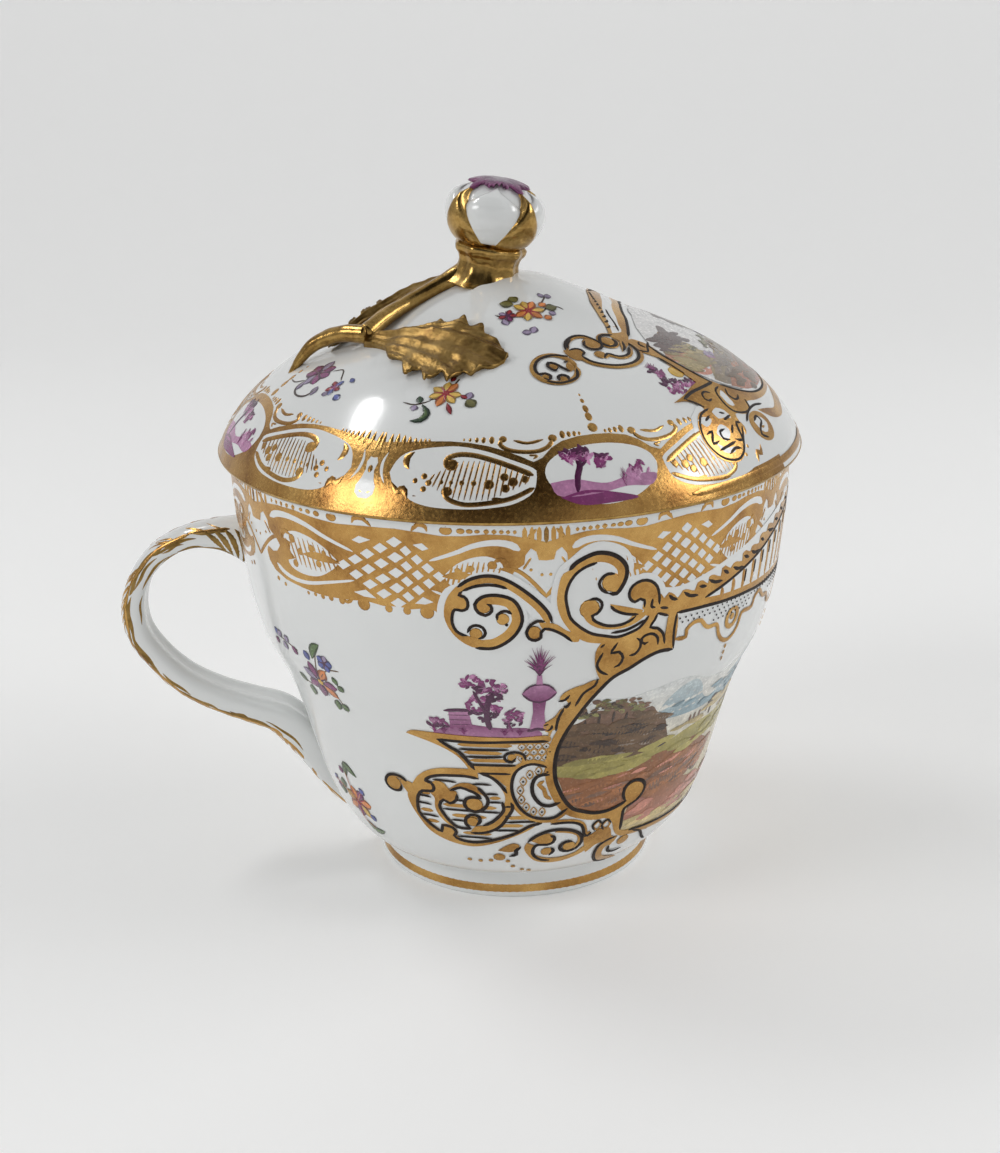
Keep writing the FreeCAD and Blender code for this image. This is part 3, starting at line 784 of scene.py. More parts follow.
def dots_object(name, dots, material):
    """One mesh of domed dots from (place, facing, upward, size, tint) rows."""
    points = bpy.data.meshes.new(name + "_points")
    points.from_pydata([dot[0] for dot in dots], [], [])
    for k, column in enumerate(("facing", "upward", "size")):
        layer = points.attributes.new(column, "FLOAT_VECTOR", "POINT")
        for item, dot in zip(layer.data, dots):
            item.vector = dot[k + 1]
    if material is WASH:
        layer = points.attributes.new("tint", "FLOAT_COLOR", "POINT")
        for item, dot in zip(layer.data, dots):
            item.color = (*dot[4], 1)
    holder = bpy.data.objects.new(name + "_points", points)
    bpy.context.scene.collection.objects.link(holder)
    modifier = holder.modifiers.new("dots", "NODES")
    modifier.node_group = DOT_TREE
    for item in DOT_TREE.interface.items_tree:
        if item.in_out == "INPUT" and item.name == "Material":
            modifier[item.identifier] = material
    graph = bpy.context.evaluated_depsgraph_get()
    mesh = bpy.data.meshes.new_from_object(holder.evaluated_get(graph))
    mesh.name = name
    for column in ("facing", "upward", "size"):
        if column in mesh.attributes:
            mesh.attributes.remove(mesh.attributes[column])
    for polygon in mesh.polygons:
        polygon.use_smooth = True
    holder.modifiers.clear()
    bpy.data.objects.remove(holder)
    made = bpy.data.objects.new(name, mesh)
    bpy.context.scene.collection.objects.link(made)
    return made


LINE_LOOK, DAB_LOOK, DROP_LOOK = "line", "dab", "drop"
# In mm: how far a field's underside goes into the surface, and how far each wash lies over the last.
FIELD_SUNK, WASH_OVER_WASH = 0.04, 0.006


def brush_width(look, t, length, width):
    """The brush's width at a share t of a stroke: even with round ends, full in the middle, or a drop."""
    if look == DAB_LOOK:
        return width * max(0.1, math.sin(math.pi * t) ** 0.7)
    if look == DROP_LOOK:
        return width * max(0.08, (1 - t) ** 0.75 * min(1, (t * 6 + 0.35)))
    near = min(t, 1 - t) * length / max(width, 0.01)
    return width * min(1, 0.3 + 0.95 * near)


class Paint:
    """One piece of painting: strokes, spots and fills of one material over a turned surface."""

    def __init__(self, name, sheet, material, slot, lift, crown=0.05):
        self.name, self.sheet, self.material, self.slot = name, sheet, material, slot
        self.lift, self.crown = lift, crown
        self.turns = [same]
        self.bm = bmesh.new()
        self.tints = self.bm.verts.layers.float_color.new("tint") if material is WASH else None
        self.dots = []
        self.rise = 0

    def vertex(self, phi, v, lift, tint):
        vertex = self.bm.verts.new(self.sheet.place(phi, v, lift))
        if self.tints:
            vertex[self.tints] = (*tint, 1)
        return vertex

    def scale(self, v):
        """How many mm one degree and one unit of the second measure cover here."""
        return self.sheet.per_degree(v), self.sheet.stretch(v)

    def shift(self, run, i, offset):
        """A point of a run, moved offset mm to the run's left."""
        phi, v = run[i]
        a, b = run[max(i - 1, 0)], run[min(i + 1, len(run) - 1)]
        over, up = self.scale(v)
        dx, dy = (b[0] - a[0]) * over, (b[1] - a[1]) * up
        size = math.hypot(dx, dy) or 1
        return phi - dy / size * offset / over, v + dx / size * offset / up

    def ribbon(self, run, widths, tint):
        """A raised band along a run of chart points, closed underneath."""
        low, high = self.lift + self.rise, self.lift + self.rise + self.crown
        edges = ((-1, low), (-0.6, high), (0.6, high), (1, low))
        rings = []
        for i, width in enumerate(widths):
            places = [(self.shift(run, i, share * width / 2), lift) for share, lift in edges]
            rings.append([self.vertex(*place, lift, tint) for place, lift in places])
        for first, second in zip(rings, rings[1:]):
            for k in range(4):
                j = (k + 1) % 4
                self.bm.faces.new((first[k], second[k], second[j], first[j]))
        self.bm.faces.new(rings[0])
        self.bm.faces.new(rings[-1][::-1])

    def trace(self, flat, step, closed=False):
        """Chart points along a smooth curve through given ones."""
        points = pairs(flat)
        if closed:
            points = points + [points[0]]
        middle = sum(p[1] for p in points) / len(points)
        over, up = self.scale(middle)
        run = spline([(p[0] * over, p[1] * up) for p in points], step)
        return [(p[0] / over, p[1] / up) for p in run]

    def straight(self, flat, step=1.5):
        """The corners of a closed outline, with more points along its long sides."""
        corners = pairs(flat)
        points = []
        for a, b in zip(corners, corners[1:] + corners[:1]):
            over, up = self.scale(a[1])
            count = max(1, round(math.hypot((b[0] - a[0]) * over, (b[1] - a[1]) * up) / step))
            points += [(a[0] + (b[0] - a[0]) * k / count,
                a[1] + (b[1] - a[1]) * k / count) for k in range(count)]
        return points

    def stroke(self, flat, width, look=LINE_LOOK, tint=(0, 0, 0), step=0.7, end_width=None):
        """One stroke of the brush along the smooth curve through the points of a flat row."""
        points = self.trace(flat, step)
        if len(points) < 5:
            points = self.trace(flat, step / 3)
        lengths = [0]
        for a, b in zip(points, points[1:]):
            over, up = self.scale(b[1])
            lengths.append(lengths[-1] + math.hypot((b[0] - a[0]) * over, (b[1] - a[1]) * up))
        total = lengths[-1] or 1
        gain = (end_width or width) - width
        widths = [brush_width(look, at / total, total, width + gain * (at / total)) for at in lengths]
        for turn in self.turns:
            self.ribbon([(turn(p), v) for p, v in points], widths, tint)

    def beside(self, flat, offset, step=0.8):
        """The curve that runs offset mm to the left of another."""
        points = self.trace(flat, step)
        return [c for i in range(len(points)) for c in self.shift(points, i, offset)]

    def spot(self, phi, v, radius, tint=(0, 0, 0), tall=1):
        """A small domed dot, tall times as long up the sheet as across."""
        height = self.rise + self.crown
        for turn in self.turns:
            here = self.sheet.place(turn(phi), v, self.lift)
            upward = (self.sheet.place(turn(phi), v + 0.1, self.lift) - here).normalized()
            size = Vector((radius, radius * tall, height)) * MM
            self.dots.append((here, self.sheet.normal(turn(phi), v), upward, size, tint))

    def spots(self, rows):
        for phi, v, radius in rows:
            self.spot(phi, v, radius)

    def lozenge(self, phi, v, wide, high, width, step=0.5):
        corners = (phi - wide, v, phi, v + high, phi + wide, v, phi, v - high, phi - wide, v)
        self.stroke(corners, width, step=step)

    def fill(self, flat, tint=(0, 0, 0), smooth=True, spacing=1.3, tint_top=None):
        """A flat field inside an outline, with points enough within it to follow the surface."""
        loop = self.trace(flat, 0.8, closed=True)[:-1] if smooth else self.straight(flat)
        over, up = self.scale(sum(p[1] for p in loop) / len(loop))
        rim = [Vector((p[0] * over, p[1] * up)) for p in loop]
        left, right = min(p.x for p in rim), max(p.x for p in rim)
        low, high = min(p.y for p in rim), max(p.y for p in rim)
        points = list(rim)
        for j in range(1, int((high - low) / spacing) + 1):
            y = low + j * spacing
            x = left + (0.5 if j % 2 else 1) * spacing
            while x < right:
                spot = Vector((x, y))
                if inside(spot, rim) and min((spot - p).length_squared for p in rim) > (0.45 * spacing) ** 2:
                    points.append(spot)
                x += spacing
        sides = [(k, (k + 1) % len(rim)) for k in range(len(rim))]
        made = geometry.delaunay_2d_cdt(points, sides, [], 0, 1e-5)
        spots, triangles = made[0], made[2]
        kept = [t for t in triangles if inside((spots[t[0]] + spots[t[1]] + spots[t[2]]) / 3, rim)]
        if not kept:
            return
        base, top = self.lift + self.rise, self.lift + self.rise + self.crown
        edges = dict.fromkeys((t[k], t[(k + 1) % 3]) for t in kept for k in range(3))
        rim_edges = [e for e in edges if (e[1], e[0]) not in edges]
        used = sorted({i for t in kept for i in t})
        for turn in self.turns:
            flipped = turn(1) < turn(0)
            upper, lower = {}, {}
            for i in used:
                phi, v = spots[i].x / over, spots[i].y / up
                shade = tint
                if tint_top:
                    share = min(1, max(0, (spots[i].y - low) / (high - low)))
                    shade = tuple(a + (b - a) * share for a, b in zip(tint, tint_top))
                upper[i] = self.vertex(turn(phi), v, top, shade)
                lower[i] = self.vertex(turn(phi), v, base - FIELD_SUNK, shade)
            for t in kept:
                self.bm.faces.new([upper[i] for i in (t[::-1] if flipped else t)])
                self.bm.faces.new([lower[i] for i in (t if flipped else t[::-1])])
            for a, b in rim_edges:
                quad = (lower[a], lower[b], upper[b], upper[a])
                self.bm.faces.new(quad[::-1] if flipped else quad)
        if self.material is WASH:
            self.rise += WASH_OVER_WASH

    def finish(self):
        if self.bm.faces:
            bmesh.ops.recalc_face_normals(self.bm, faces=self.bm.faces)
            carried(mesh_object(self.name, self.bm, self.material, FILM_EDGE), self.slot)
        if self.dots:
            carried(dots_object(self.name + "_dots", self.dots, self.material), self.slot)


def inside(spot, rim):
    """Whether a point is inside a closed line."""
    result = False
    for a, b in zip(rim, rim[-1:] + rim[:-1]):
        if (a.y > spot.y) != (b.y > spot.y):
            if spot.x < (b.x - a.x) * (spot.y - a.y) / (b.y - a.y) + a.x:
                result = not result
    return result


def both_sides(paint):
    paint.turns = [same, mirror]
    return paint


# The gilt border under the rim of the cup. One half of it runs from the middle of a trellis, at 0, to
# the middle of the gap between two scrolls, at 28.

TRELLISES = ((0, 28, 28), (56, 28, 28), (112, 38, 28), (180, 30, 30), (-112, 28, 38), (-56, 28, 28))
HALF_UNIT = 28


def border_turn(centre, way, reach, unit=HALF_UNIT):
    def turn(x):
        return centre + way * x * reach / unit
    return turn


BORDER_TURNS = []
for middle, reach_right, reach_left in TRELLISES:
    BORDER_TURNS.append(border_turn(middle, 1, reach_right))
    BORDER_TURNS.append(border_turn(middle, -1, reach_left))

cup_border = Paint("cup_border_gold", CUP, GOLD, "gilding", 0, 0.05)
cup_border.turns = BORDER_TURNS
cup_border.fill((-0.2,61.1, 5,60.9, 9,60.6, 13,60.7, 17,61, 21,60.9, 25,60.4, 28.2,59.8, 28.2,57.4,
    26.6,57.5, 26.2,58.6, 25.2,59.1, 24.2,58.2, 24,57, 23.2,56.6, 22.4,56.3, 21.4,55.2, 22.4,54.2,
    23.6,53.9, 24.9,54.3, 25.4,53.6, 25,52.3, 23.6,51.2, 21,50.5, 17,50.2, 13,50, 9,50.2, 5,50.6, 2.4,50.3,
    -0.2,50.5), smooth=False, spacing=1.2)
# Knob, side beads and volutes that hang below the band.
cup_border.spots(((1.6, 50, 0.55), (5.6, 50.1, 0.95), (9.4, 49.9, 0.5), (11.4, 49.9, 0.42), (13, 49.8,
    0.36), (14.5, 49.8, 0.3), (16, 49.7, 0.26), (21.4, 49.7, 0.3), (23.2, 50.1, 0.36)))
cup_border.stroke((7.4,50.4, 8.4,49.9, 9.4,50.2, 9.2,50.8), 0.5)
cup_border.stroke((24.6,60.4, 26.2,61.6), 0.5)
for k, x in enumerate((17.2, 18.6, 19.9, 21.1, 22.3)):
    cup_border.stroke((x, 61, x + 0.1, 61.7 - 0.04 * k), 0.75 - 0.06 * k, DAB_LOOK)
for k, x in enumerate((24.1, 25.4, 26.7, 28)):
    cup_border.stroke((x, 59.7, x, 61.9), 0.62, LINE_LOOK)
cup_border.stroke((3.4,61, 4.6,61.9, 6.2,61.7, 6.4,61.1), 0.6)
for x, size in ((9.9, 0.85), (12.6, 0.55), (14.2, 0.45), (15.6, 0.36)):
    cup_border.spot(x, 61.35, size, tall=0.7)
cup_border.spot(24.4, 52, 0.3)
cup_border.stroke((16.4,56.5, 19.4,56.7, 22.3,56.3, 24.1,55.5, 26.1,54.1, 28.1,52.4), 0.55)
cup_border.stroke((23.8,56.3, 25.2,57.8), 0.3)
cup_border.spots(((25.2, 56.2, 0.22), (27.2, 55.5, 0.22)))
cup_border.finish()

# White windows in the band.
cup_windows = Paint("cup_border_windows", CUP, GLAZE, "cup_glaze", 0.05, 0.02)
cup_windows.turns = BORDER_TURNS
for row in range(9):
    z = 59.3 - row * 1.04
    for column in range(5):
        x = column * 4.2 + (2.1 if row % 2 else 0)
        if x / 9.6 + abs(z - 55.15) / 4.7 < 0.97 and (x > 0 or row % 2 == 0):
            hand = 0.1 * math.sin(row * 2.3 + column * 4.1)
            cup_windows.fill((x - 1.15 + hand, z + 0.1, x + hand, z + 0.72, x + 1.2, z - 0.05, x + 0.1,
                z - 0.68), smooth=False, spacing=2)
cup_windows.stroke((6.6,57.2, 9.4,57.9, 12,58.6, 14.6,59.4, 17,59.8, 19.4,59.9, 21.6,59.6, 23.2,58.9), 0.36,
    step=0.9, end_width=1)
cup_windows.stroke((6.8,53.2, 9.4,52.6, 12,52, 14.6,51.4, 17,51.1, 19.6,51.2, 21.6,51.7, 22.8,52.4), 0.3,
    step=0.9, end_width=0.7)
cup_windows.fill((3.6,59.2, 5.4,58.5, 6.6,58.8, 5.4,59.5), smooth=False)
cup_windows.fill((3.4,51.2, 5,52.2, 7,51.6, 5.4,51.2), smooth=False)
cup_windows.fill((9.6,55.6, 11.6,56.9, 14.2,57.8, 17.2,58.1, 19.4,57.5, 20.2,56.6, 18.6,56.3, 19,55,
    17.8,54.2, 19.6,53.6, 19,52.8, 16.4,52.3, 13.4,52.6, 11.2,53.6, 9.6,54.8), spacing=1.2)
cup_windows.finish()

# Gold drawn inside the windows.
cup_hatch = Paint("cup_border_hatching", CUP, GOLD, "gilding", 0.07, 0.03)
cup_hatch.turns = BORDER_TURNS
for k in range(10):
    x = 10.2 + k * 0.98
    half = 1 + 0.85 * math.sin(math.pi * (k + 0.6) / 10.5)
    cup_hatch.stroke((x - 0.5, 55.25 - half * 1.05, x + 0.7, 55.25 + half * 1.15), 0.3, step=1)
cup_hatch.stroke((9,55.2, 11.5,55.4, 14,55.4, 16,55.2), 1.15, DAB_LOOK)
cup_hatch.spots(((14.2, 56.3, 0.55), (13, 54.4, 0.5), (16.6, 55.4, 0.5), (18.2, 56.9, 0.62), (17.9, 53.5,
    0.55), (11.8, 56.1, 0.4)))
cup_hatch.stroke((18.4,57.3, 19.8,57.7, 20.8,57.2, 20.7,56.4), 0.55)
cup_hatch.finish()


# The large cartouche on the cup, drawn on the left and mirrored for the right.

def scroll_paints(prefix, sheet, glaze_slot):
    """The white ground, the gold and the black outline of one cartouche."""
    return (both_sides(Paint(prefix + "_scroll_margin", sheet, GLAZE, glaze_slot, 0.085, 0.02)),
        both_sides(Paint(prefix + "_scroll_gold", sheet, GOLD, "gilding", 0.105, 0.05)),
        both_sides(Paint(prefix + "_scroll_outline", sheet, BLACK, "enamel", 0.15, 0.05)))


scroll_margin, scroll_gold, scroll_line = scroll_paints("cup", CUP, "cup_glaze")


def outlined(points, side, width, line=0.48, look=LINE_LOOK, margin=0):
    """A black line with gold laid along one side of it: 1 is to its left, -1 to its right."""
    scroll_line.stroke(points, line, look)
    middle = scroll_gold.beside(points, side * (width / 2 - 0.05))
    scroll_gold.stroke(middle, width, step=1)
    if margin:
        scroll_margin.stroke(middle, width + margin, step=1.2)


def lines(*runs, width=0.42):
    """Thin black lines."""
    for points in runs:
        scroll_line.stroke(points, width)


def gold_fields(*outlines):
    for outline in outlines:
        scroll_gold.fill(outline)


def discs(*places):
    """Raised gold rounds, such as the eyes of the volutes."""
    scroll_gold.spots(places)


# Left C-scroll
outlined((-100.3,53.9, -98.5,54.8, -96.2,55.4, -93.8,55.5, -91.8,55.1, -89.7,54.3, -87.1,52.9, -85,51.5,
    -83.5,50.1, -82.9,48.9), -1, 1.05, margin=1.9)
gold_fields((-100.5,54, -102,52.8, -102.9,51.3, -103.1,49.8, -102.5,48.4, -101.1,47, -99.2,46, -97,45.5,
    -95.4,46.2, -96.6,46.8, -98.8,47.2, -99.7,47.4, -100.9,47.9, -101.6,49, -101.4,50.2, -100.8,50.8,
    -99.7,50.7, -98.7,51, -98.5,51.9, -99.1,52.6, -99.6,53, -99.2,53.6))
scroll_margin.fill((-99.6,54.6, -102.6,53.6, -104.2,51.4, -104.4,49.6, -103.4,47.6, -101.5,46.1, -99.4,45.1,
    -95,44.9, -91,45.8, -88.2,47.6, -87.4,49.6, -88.2,51.6, -90,53.4, -93,54.6, -96,55))
lines((-99.4,53.4, -97.4,54, -94.4,54.3, -92.4,54.1, -91.2,53.8), (-99.4,53.4, -100.1,52.8, -99.1,52.6,
    -98.5,51.9, -98.7,51, -99.7,50.7, -101,50.8, -101.5,50.1, -101.6,48.9, -100.9,47.8, -99.7,47.3,
    -98.8,47.2))
outlined((-97.4,45.5, -94.1,45.5, -91.8,46.2, -89.7,47.5, -88.5,49.3, -89,51.1, -90.3,52.3, -93.2,52.9,
    -95.9,52.6, -97.2,51.6, -96.6,50.5, -95.3,50.1), 1, 1.35)
lines((-96.6,50.5, -95.3,50.1, -94.1,50.7, -94.3,51.5, -95,51.7), (-98.8,47.6, -98.2,48.4, -97.1,48.7,
    -95.9,48.4, -95.4,47.6, -96,47, -96.8,46.8), (-93.1,49.5, -93.1,50.2, -92.4,50.6, -91.3,50.7,
    -90.4,50.3), (-84.3,49.1, -85.6,49.2, -86.9,48.7, -87.7,47.7, -87.2,46.8, -86,46.5, -85,46.9, -85,47.6,
    -84.3,48.1, -82.9,47.9, -81.5,47.4, -80.4,46.9, -79,46))
discs((-95.6, 51.3, 0.95), (-97.2, 47.5, 0.85), (-92.1, 49.6, 0.85), (-86.3, 47.6, 0.95))
scroll_line.spot(-91.4, 48.8, 0.22)
gold_fields((-85.4,49, -83.6,48.9, -82,48.6, -80,47.6, -77.6,46.9, -77.8,45.9, -79.6,46.2, -81.4,47.2,
    -83,47.7, -84.6,48))

# Great C-scroll
gold_fields((-79.2,56, -80.9,55.5, -81.8,53.7, -82,51.3, -81.1,49.3, -79.6,47.7, -78,46.5, -76,45.7,
    -74,45.4, -72,45.2, -69.5,45.2, -67,45.3, -64.5,45.9, -62.6,47, -61.6,48.4, -63.5,48.3, -64.4,47.6,
    -65.6,46.8, -67.5,46.2, -70,45.95, -72.5,46.3, -75,46.8, -76.7,47.5, -78.1,48.3, -79.4,49.3, -80.1,50.9,
    -80.4,52.5, -79.8,54.1, -78.5,55.3, -77.4,56), (-77.1,50.6, -76.9,49.3, -75.6,48.2, -73.3,47.4,
    -69.2,47.05, -66.3,47.5, -64,48.6, -66.4,48.9, -68,48, -70.2,47.6, -73,47.9, -74.8,48.7, -75.2,49.6),
    (-71.8,50.7, -69.8,50.3, -68,49.9, -66.3,49.5, -64.8,49.1, -65.8,48.6, -67.1,48.7, -69.2,49.1,
    -71,49.8), (-65.6,50.8, -66.7,50.5, -67.7,51, -68,51.9, -67.3,52.8, -65.4,53.3, -63.5,53, -62.1,52.1,
    -61.5,50.9, -61.2,49.5, -61.6,48.4, -64.6,48.4, -64.5,49.6, -64.8,50.6))
scroll_margin.fill((-79.8,57.4, -77,58.9, -74.4,59.4, -71.4,59, -68.6,57.8, -67.3,56, -67.3,54.2,
    -65.2,54.3, -62.8,53.9, -60.8,52.6, -59.8,50.8, -60,48, -63,45.6, -68,44.2, -74,44.3, -79,45.6, -82,48,
    -83.2,51, -82.9,54, -81.6,56.4))
outlined((-79.8,55.9, -78.8,56.7, -76.7,57.5, -74.6,57.9, -72.1,57.6, -70,56.7, -68.8,55.5, -68.8,54.1,
    -69.6,52.9, -70.6,52.1, -72.1,52.2), -1, 1.3, line=0.6)
lines((-72.1,52.2, -73.5,52.8, -74.1,53.7, -73.5,54.5, -72.5,54.9, -71,54.8), (-74.6,56.6, -76.7,56.2,
    -78.5,55.4, -79.8,54.1, -80.4,52.5, -80.1,50.9, -79.4,49.3, -78.1,48.3, -76.7,47.5, -75,46.8,
    -72.5,46.3, -70,45.9, -67.5,46.2, -65.4,46.7, -64.2,47.5, -63.5,48.2), (-76,51.6, -74.6,51.7,
    -73.5,51.1, -73.5,50.3, -74.4,49.6, -75.3,49.4, -75,48.8, -73.8,48.2, -72.1,47.7, -69.2,47.6,
    -67.1,48.1, -66.3,48.5), (-71.3,46.6, -68.3,46.7, -66.3,47.1, -64.4,47.7), (-71.7,50.5, -71,49.9,
    -69.2,49.2, -67.1,48.8, -65.8,48.7), (-64.6,49.5, -64.7,50.5, -65.6,50.8, -66.7,50.5, -67.7,51,
    -68,51.9, -67.3,52.8, -65.4,53.3, -63.5,53, -62.1,52.1, -61.5,50.9, -61.3,49.5), (-62.9,50.5, -63,49.4,
    -62.2,49.2), (-61,49, -59.2,48.7))
discs((-71.7, 53.7, 1.3), (-75.8, 50.4, 1.35))

# Joint, column and the curls below it
gold_fields((-63.5,48.2, -61.7,48.3, -62.1,47.4, -63,46.5, -61.3,46.1, -59.8,45.1, -59.3,43.7, -57.3,43.2,
    -57.1,42.4, -60,42.5, -63.1,42.1, -66.9,40.9, -70,40, -71.8,39.2, -73.4,40.6, -74.2,42.4, -74,44.6,
    -72.5,45.6, -70,45.4, -67,45.4, -64.8,46.2), (-58.9,48.2, -57,48, -57.1,42.6, -58.9,42.9), (-65,49.3,
    -64.6,50.4, -61,50.9, -60.3,50.2, -59.3,50.9, -57.9,50.4, -57,49.8, -55.9,50.7, -54.5,50.6, -52.9,50.2,
    -52.3,51.2, -50.9,51.3, -49.4,50.6, -49.2,51.5, -47.9,51.6, -45.8,51, -45.6,52.1, -44.6,52.3,
    -42.8,51.6, -42.1,52.1, -40.9,52.2, -38.9,51.9, -39,52.9, -37.8,53.2, -36,52.7, -35.6,53.3, -34.4,53.4,
    -32.4,53.2, -32.2,54.1, -31,54.4, -29,54.2, -28.4,55, -26.6,54.9, -25.2,54.6, -24.6,55.6, -23,55.6,
    -21.2,55.4, -20.4,56.3, -18.6,56.3, -16.6,56.2, -15.6,57, -13.6,56.9, -11.4,56.9, -10.2,57.6, -8,57.4,
    -5.6,57.4, -4.2,58.1, -2,57.8, 0.2,57.9, 0.2,56.9, -4,56.8, -8,56.5, -12,56, -16,55.2, -20,54.4,
    -25,53.3, -30.8,52.1, -35,51.3, -40,50.4, -45,49.5, -49.8,48.7, -50.4,47.7, -56.8,47.7, -59.4,47.8,
    -61.6,48.4))
scroll_margin.fill((-65,48, -65,51, -62,51.8, -57,51.4, -50,52.2, -44,53.2, -38,54.1, -32,55.2, -26,56.2,
    -20,57.2, -14,57.9, -8,58.6, 0.2,59, 0.2,46, -8,46.1, -25,46.2, -40,46.8, -57,47.2))
scroll_gold.stroke((-56,48.1, -49.8,48.1, -45,47.75, -40,47.5, -35,47.3, -30,47.1, -25,46.95, -12,46.7,
    0.2,46.6), 1.05)
lines((-56.9,47.7, -57.2,44.9, -56.8,42.5), (-61.5,48.3, -62.1,47.4, -63,46.5, -61.3,46.1, -59.8,45.1,
    -59.2,43.6), (-61.5,48.3, -59,47.6), (-60.8,43.7, -61,44.7, -62.1,45.4, -63.5,45.5, -64.6,45.1,
    -64.6,44.5, -63.8,44.2, -63.1,44.4), (-65.8,45.3, -65,44.9, -64.8,43.9, -65.8,43, -67.1,42.9),
    (-69.8,45.1, -71,43.7, -69.4,43.7, -68.4,42.7, -69.2,41.7, -70.2,41.5), (-72.5,45.1, -73.3,44.7),
    (-72.7,43.9, -73.5,42.9, -73.8,42.1, -72.9,41.1, -71.3,40.5))
lines((-56.9,47.7, -50,47.45, -45,47.2, -40,47, -35,46.8, -30,46.5, -25,46.4, -12,46.2, 0.2,46.1),
    (-49.8,48.7, -45,49.5, -40,50.4, -35,51.3, -30.8,52.1, -25,53.3, -20,54.3, -12,55.8, -5,56.5, 0.2,56.7),
    width=0.5)
lines((-59.2,50.5, -58.3,49.9, -57.1,49.6), (-55.6,50.4, -54.2,49.7, -51.9,49.4), (-51.7,50.6, -49.8,50.3),
    (-49.2,51.1, -47.5,50.5, -45.2,50.3), (-45,51.7, -43.3,51), (-41.9,51.6, -40.4,51.1, -38.3,51),
    (-38.3,52.5, -36.5,52), (-35.6,52.7, -34.2,52.2, -31.7,52.1), (-31.8,53.7, -30.2,53.2), (-28.4,54.3,
    -26.8,53.9, -25,53.8), (-24.4,55, -22.4,54.6), (-20.6,55.8, -18.6,55.3), (-16.2,56.4, -14.2,56),
    (-11,56.9, -9,56.6), width=0.5)
for k in range(13):
    phi = -45 + 3.6 * k
    top = 49.3 + (phi + 45) * 0.185
    scroll_gold.stroke((phi, 47.6, phi + 0.3, (47.6 + top) / 2, phi, top), 0.85)
    if k > 1:
        scroll_line.stroke((phi + 0.9, top - 0.2, phi + 0.7, max(48.4, top - 2)), 0.34)

# Frame round the painted panel
PANEL_EDGE = (-56.9,42.4, -60,42.6, -63.1,42.1, -66.9,40.9, -70,40, -72.7,38.2, -75,36.2, -76.9,33.8,
    -78.8,31.2, -80.2,28.5, -80.6,25.9, -80.2,23.5, -79.2,21.8, -77.3,19.7, -75,18.2, -71.9,17.4,
    -68.5,16.8, -65,16.7, -61.5,17.1, -59.2,17.6)
outlined(PANEL_EDGE, -1, 1.35, line=0.6)
lines((-59.2,17.6, -60.4,18.8, -60,20.3, -57.7,20.9, -54.6,20.3, -53.5,19.1, -54.6,17.6, -57.3,16.8,
    -59.2,16.3, -59.2,14.7, -58.6,12.4), width=0.55)
scroll_gold.rise = 0.035
scroll_gold.fill((-59.3,17.8, -60,18.9, -59.6,20.1, -57.7,20.6, -54.9,20, -54,19, -55,17.9, -57.3,17.1))
scroll_gold.rise = 0
gold_fields((-60.6,17.2, -56.6,17.9, -54.8,17.4, -57.6,16.6, -59.2,16.2, -59.3,14.7, -58.6,12.4, -53.5,11.6,
    -47.7,11.4, -46,10.2, -48,10.6, -53,10.9, -57.4,11, -60.4,12.2, -62,14, -63.6,15.2, -66,15.6,
    -66.6,16.4, -63.4,16.4))
scroll_line.stroke((-55,11.7, -50,11.5, -40,11.2, -30,11, -20,10.9, -10,10.9, 0.2,10.9), 0.5)
scroll_gold.stroke((-56,11.2, -47,10.8, -40,10.5, -30,10.3, -20,10.2, -10,10.2, 0.2,10.2), 1)
scroll_line.stroke((-53,11.3, -49.5,10.6, -46.5,8.9, -44,8), 0.45)

# Leafy edge on the panel's left
gold_fields((-72.6,39.6, -74.2,39.9, -76,39.4, -77.9,39.1, -80.2,38.3, -80.9,37.4, -79.6,37.2, -79,36.4,
    -80.6,35.6, -81.6,34.4, -82.9,33.7, -83.9,33.2, -83.3,31.9, -82,31.7, -81,32.9, -80,31.3, -78.4,33,
    -76.4,35.6, -74.4,37.8), (-82.4,30.6, -81.2,32.6, -79.4,31.2, -81.2,28.2, -81.9,25.8, -81.6,23,
    -80.6,21, -79,19.4, -77,17.8, -75.6,17, -74.6,17.9, -77.4,19.9, -79.4,22, -80.4,24.6, -80.6,26.8,
    -80,29, -78.8,31.4, -79.4,32.4, -82.6,31.6))
lines((-73.3,40.1, -73.8,39.1, -76,38.1, -77.5,36.1), (-81.2,37.1, -79.8,37.3, -78.9,38), (-79.9,35.9,
    -80.8,34, -81,31.9), (-79.9,36.3, -79.4,36, -78.6,36.9), (-81.2,34.1, -80.4,33.9), (-82.9,32,
    -82.1,32.4, -82,33), (-83.8,33, -82.8,33.2))

# Platform over the volute
gold_fields((-115.9,30.5, -114.6,31, -110,31.2, -100,31.1, -90,31, -82.3,31, -82,30.2, -95,29.9,
    -107.6,29.9, -104.6,28.4, -101.8,26.6, -99.9,25.2, -101,25, -102.4,26.4, -104.1,27.6, -106.9,28.7,
    -110,29.5, -113.4,30.1), (-99.9,26.2, -90.2,26.2, -91.4,25.4, -91.8,24.6, -92.2,22.6, -94,23.6,
    -96.4,24.6, -99,24.9, -101,25.2))
lines((-108.4,30.15, -100,30.1, -90,30.3, -82.5,30.2), (-108.1,30.1, -105,28.8, -103.4,28.3, -101.6,26.8,
    -100,25.4), width=0.55)
lines((-103.4,28.8, -98,28.85, -91.6,28.9), (-101.9,27.55, -97,27.6, -92.8,27.7), (-101.6,26.2, -96,26.25,
    -90,26.2), (-99.2,24.85, -95,24.85, -91.3,24.8), (-90,27.5, -90.9,26.8, -92.2,27, -92.7,27.7,
    -91.9,28.3, -90,28.5, -88.1,28, -87.7,27.1))
scroll_gold.spot(-90.9, 27.6, 0.62)
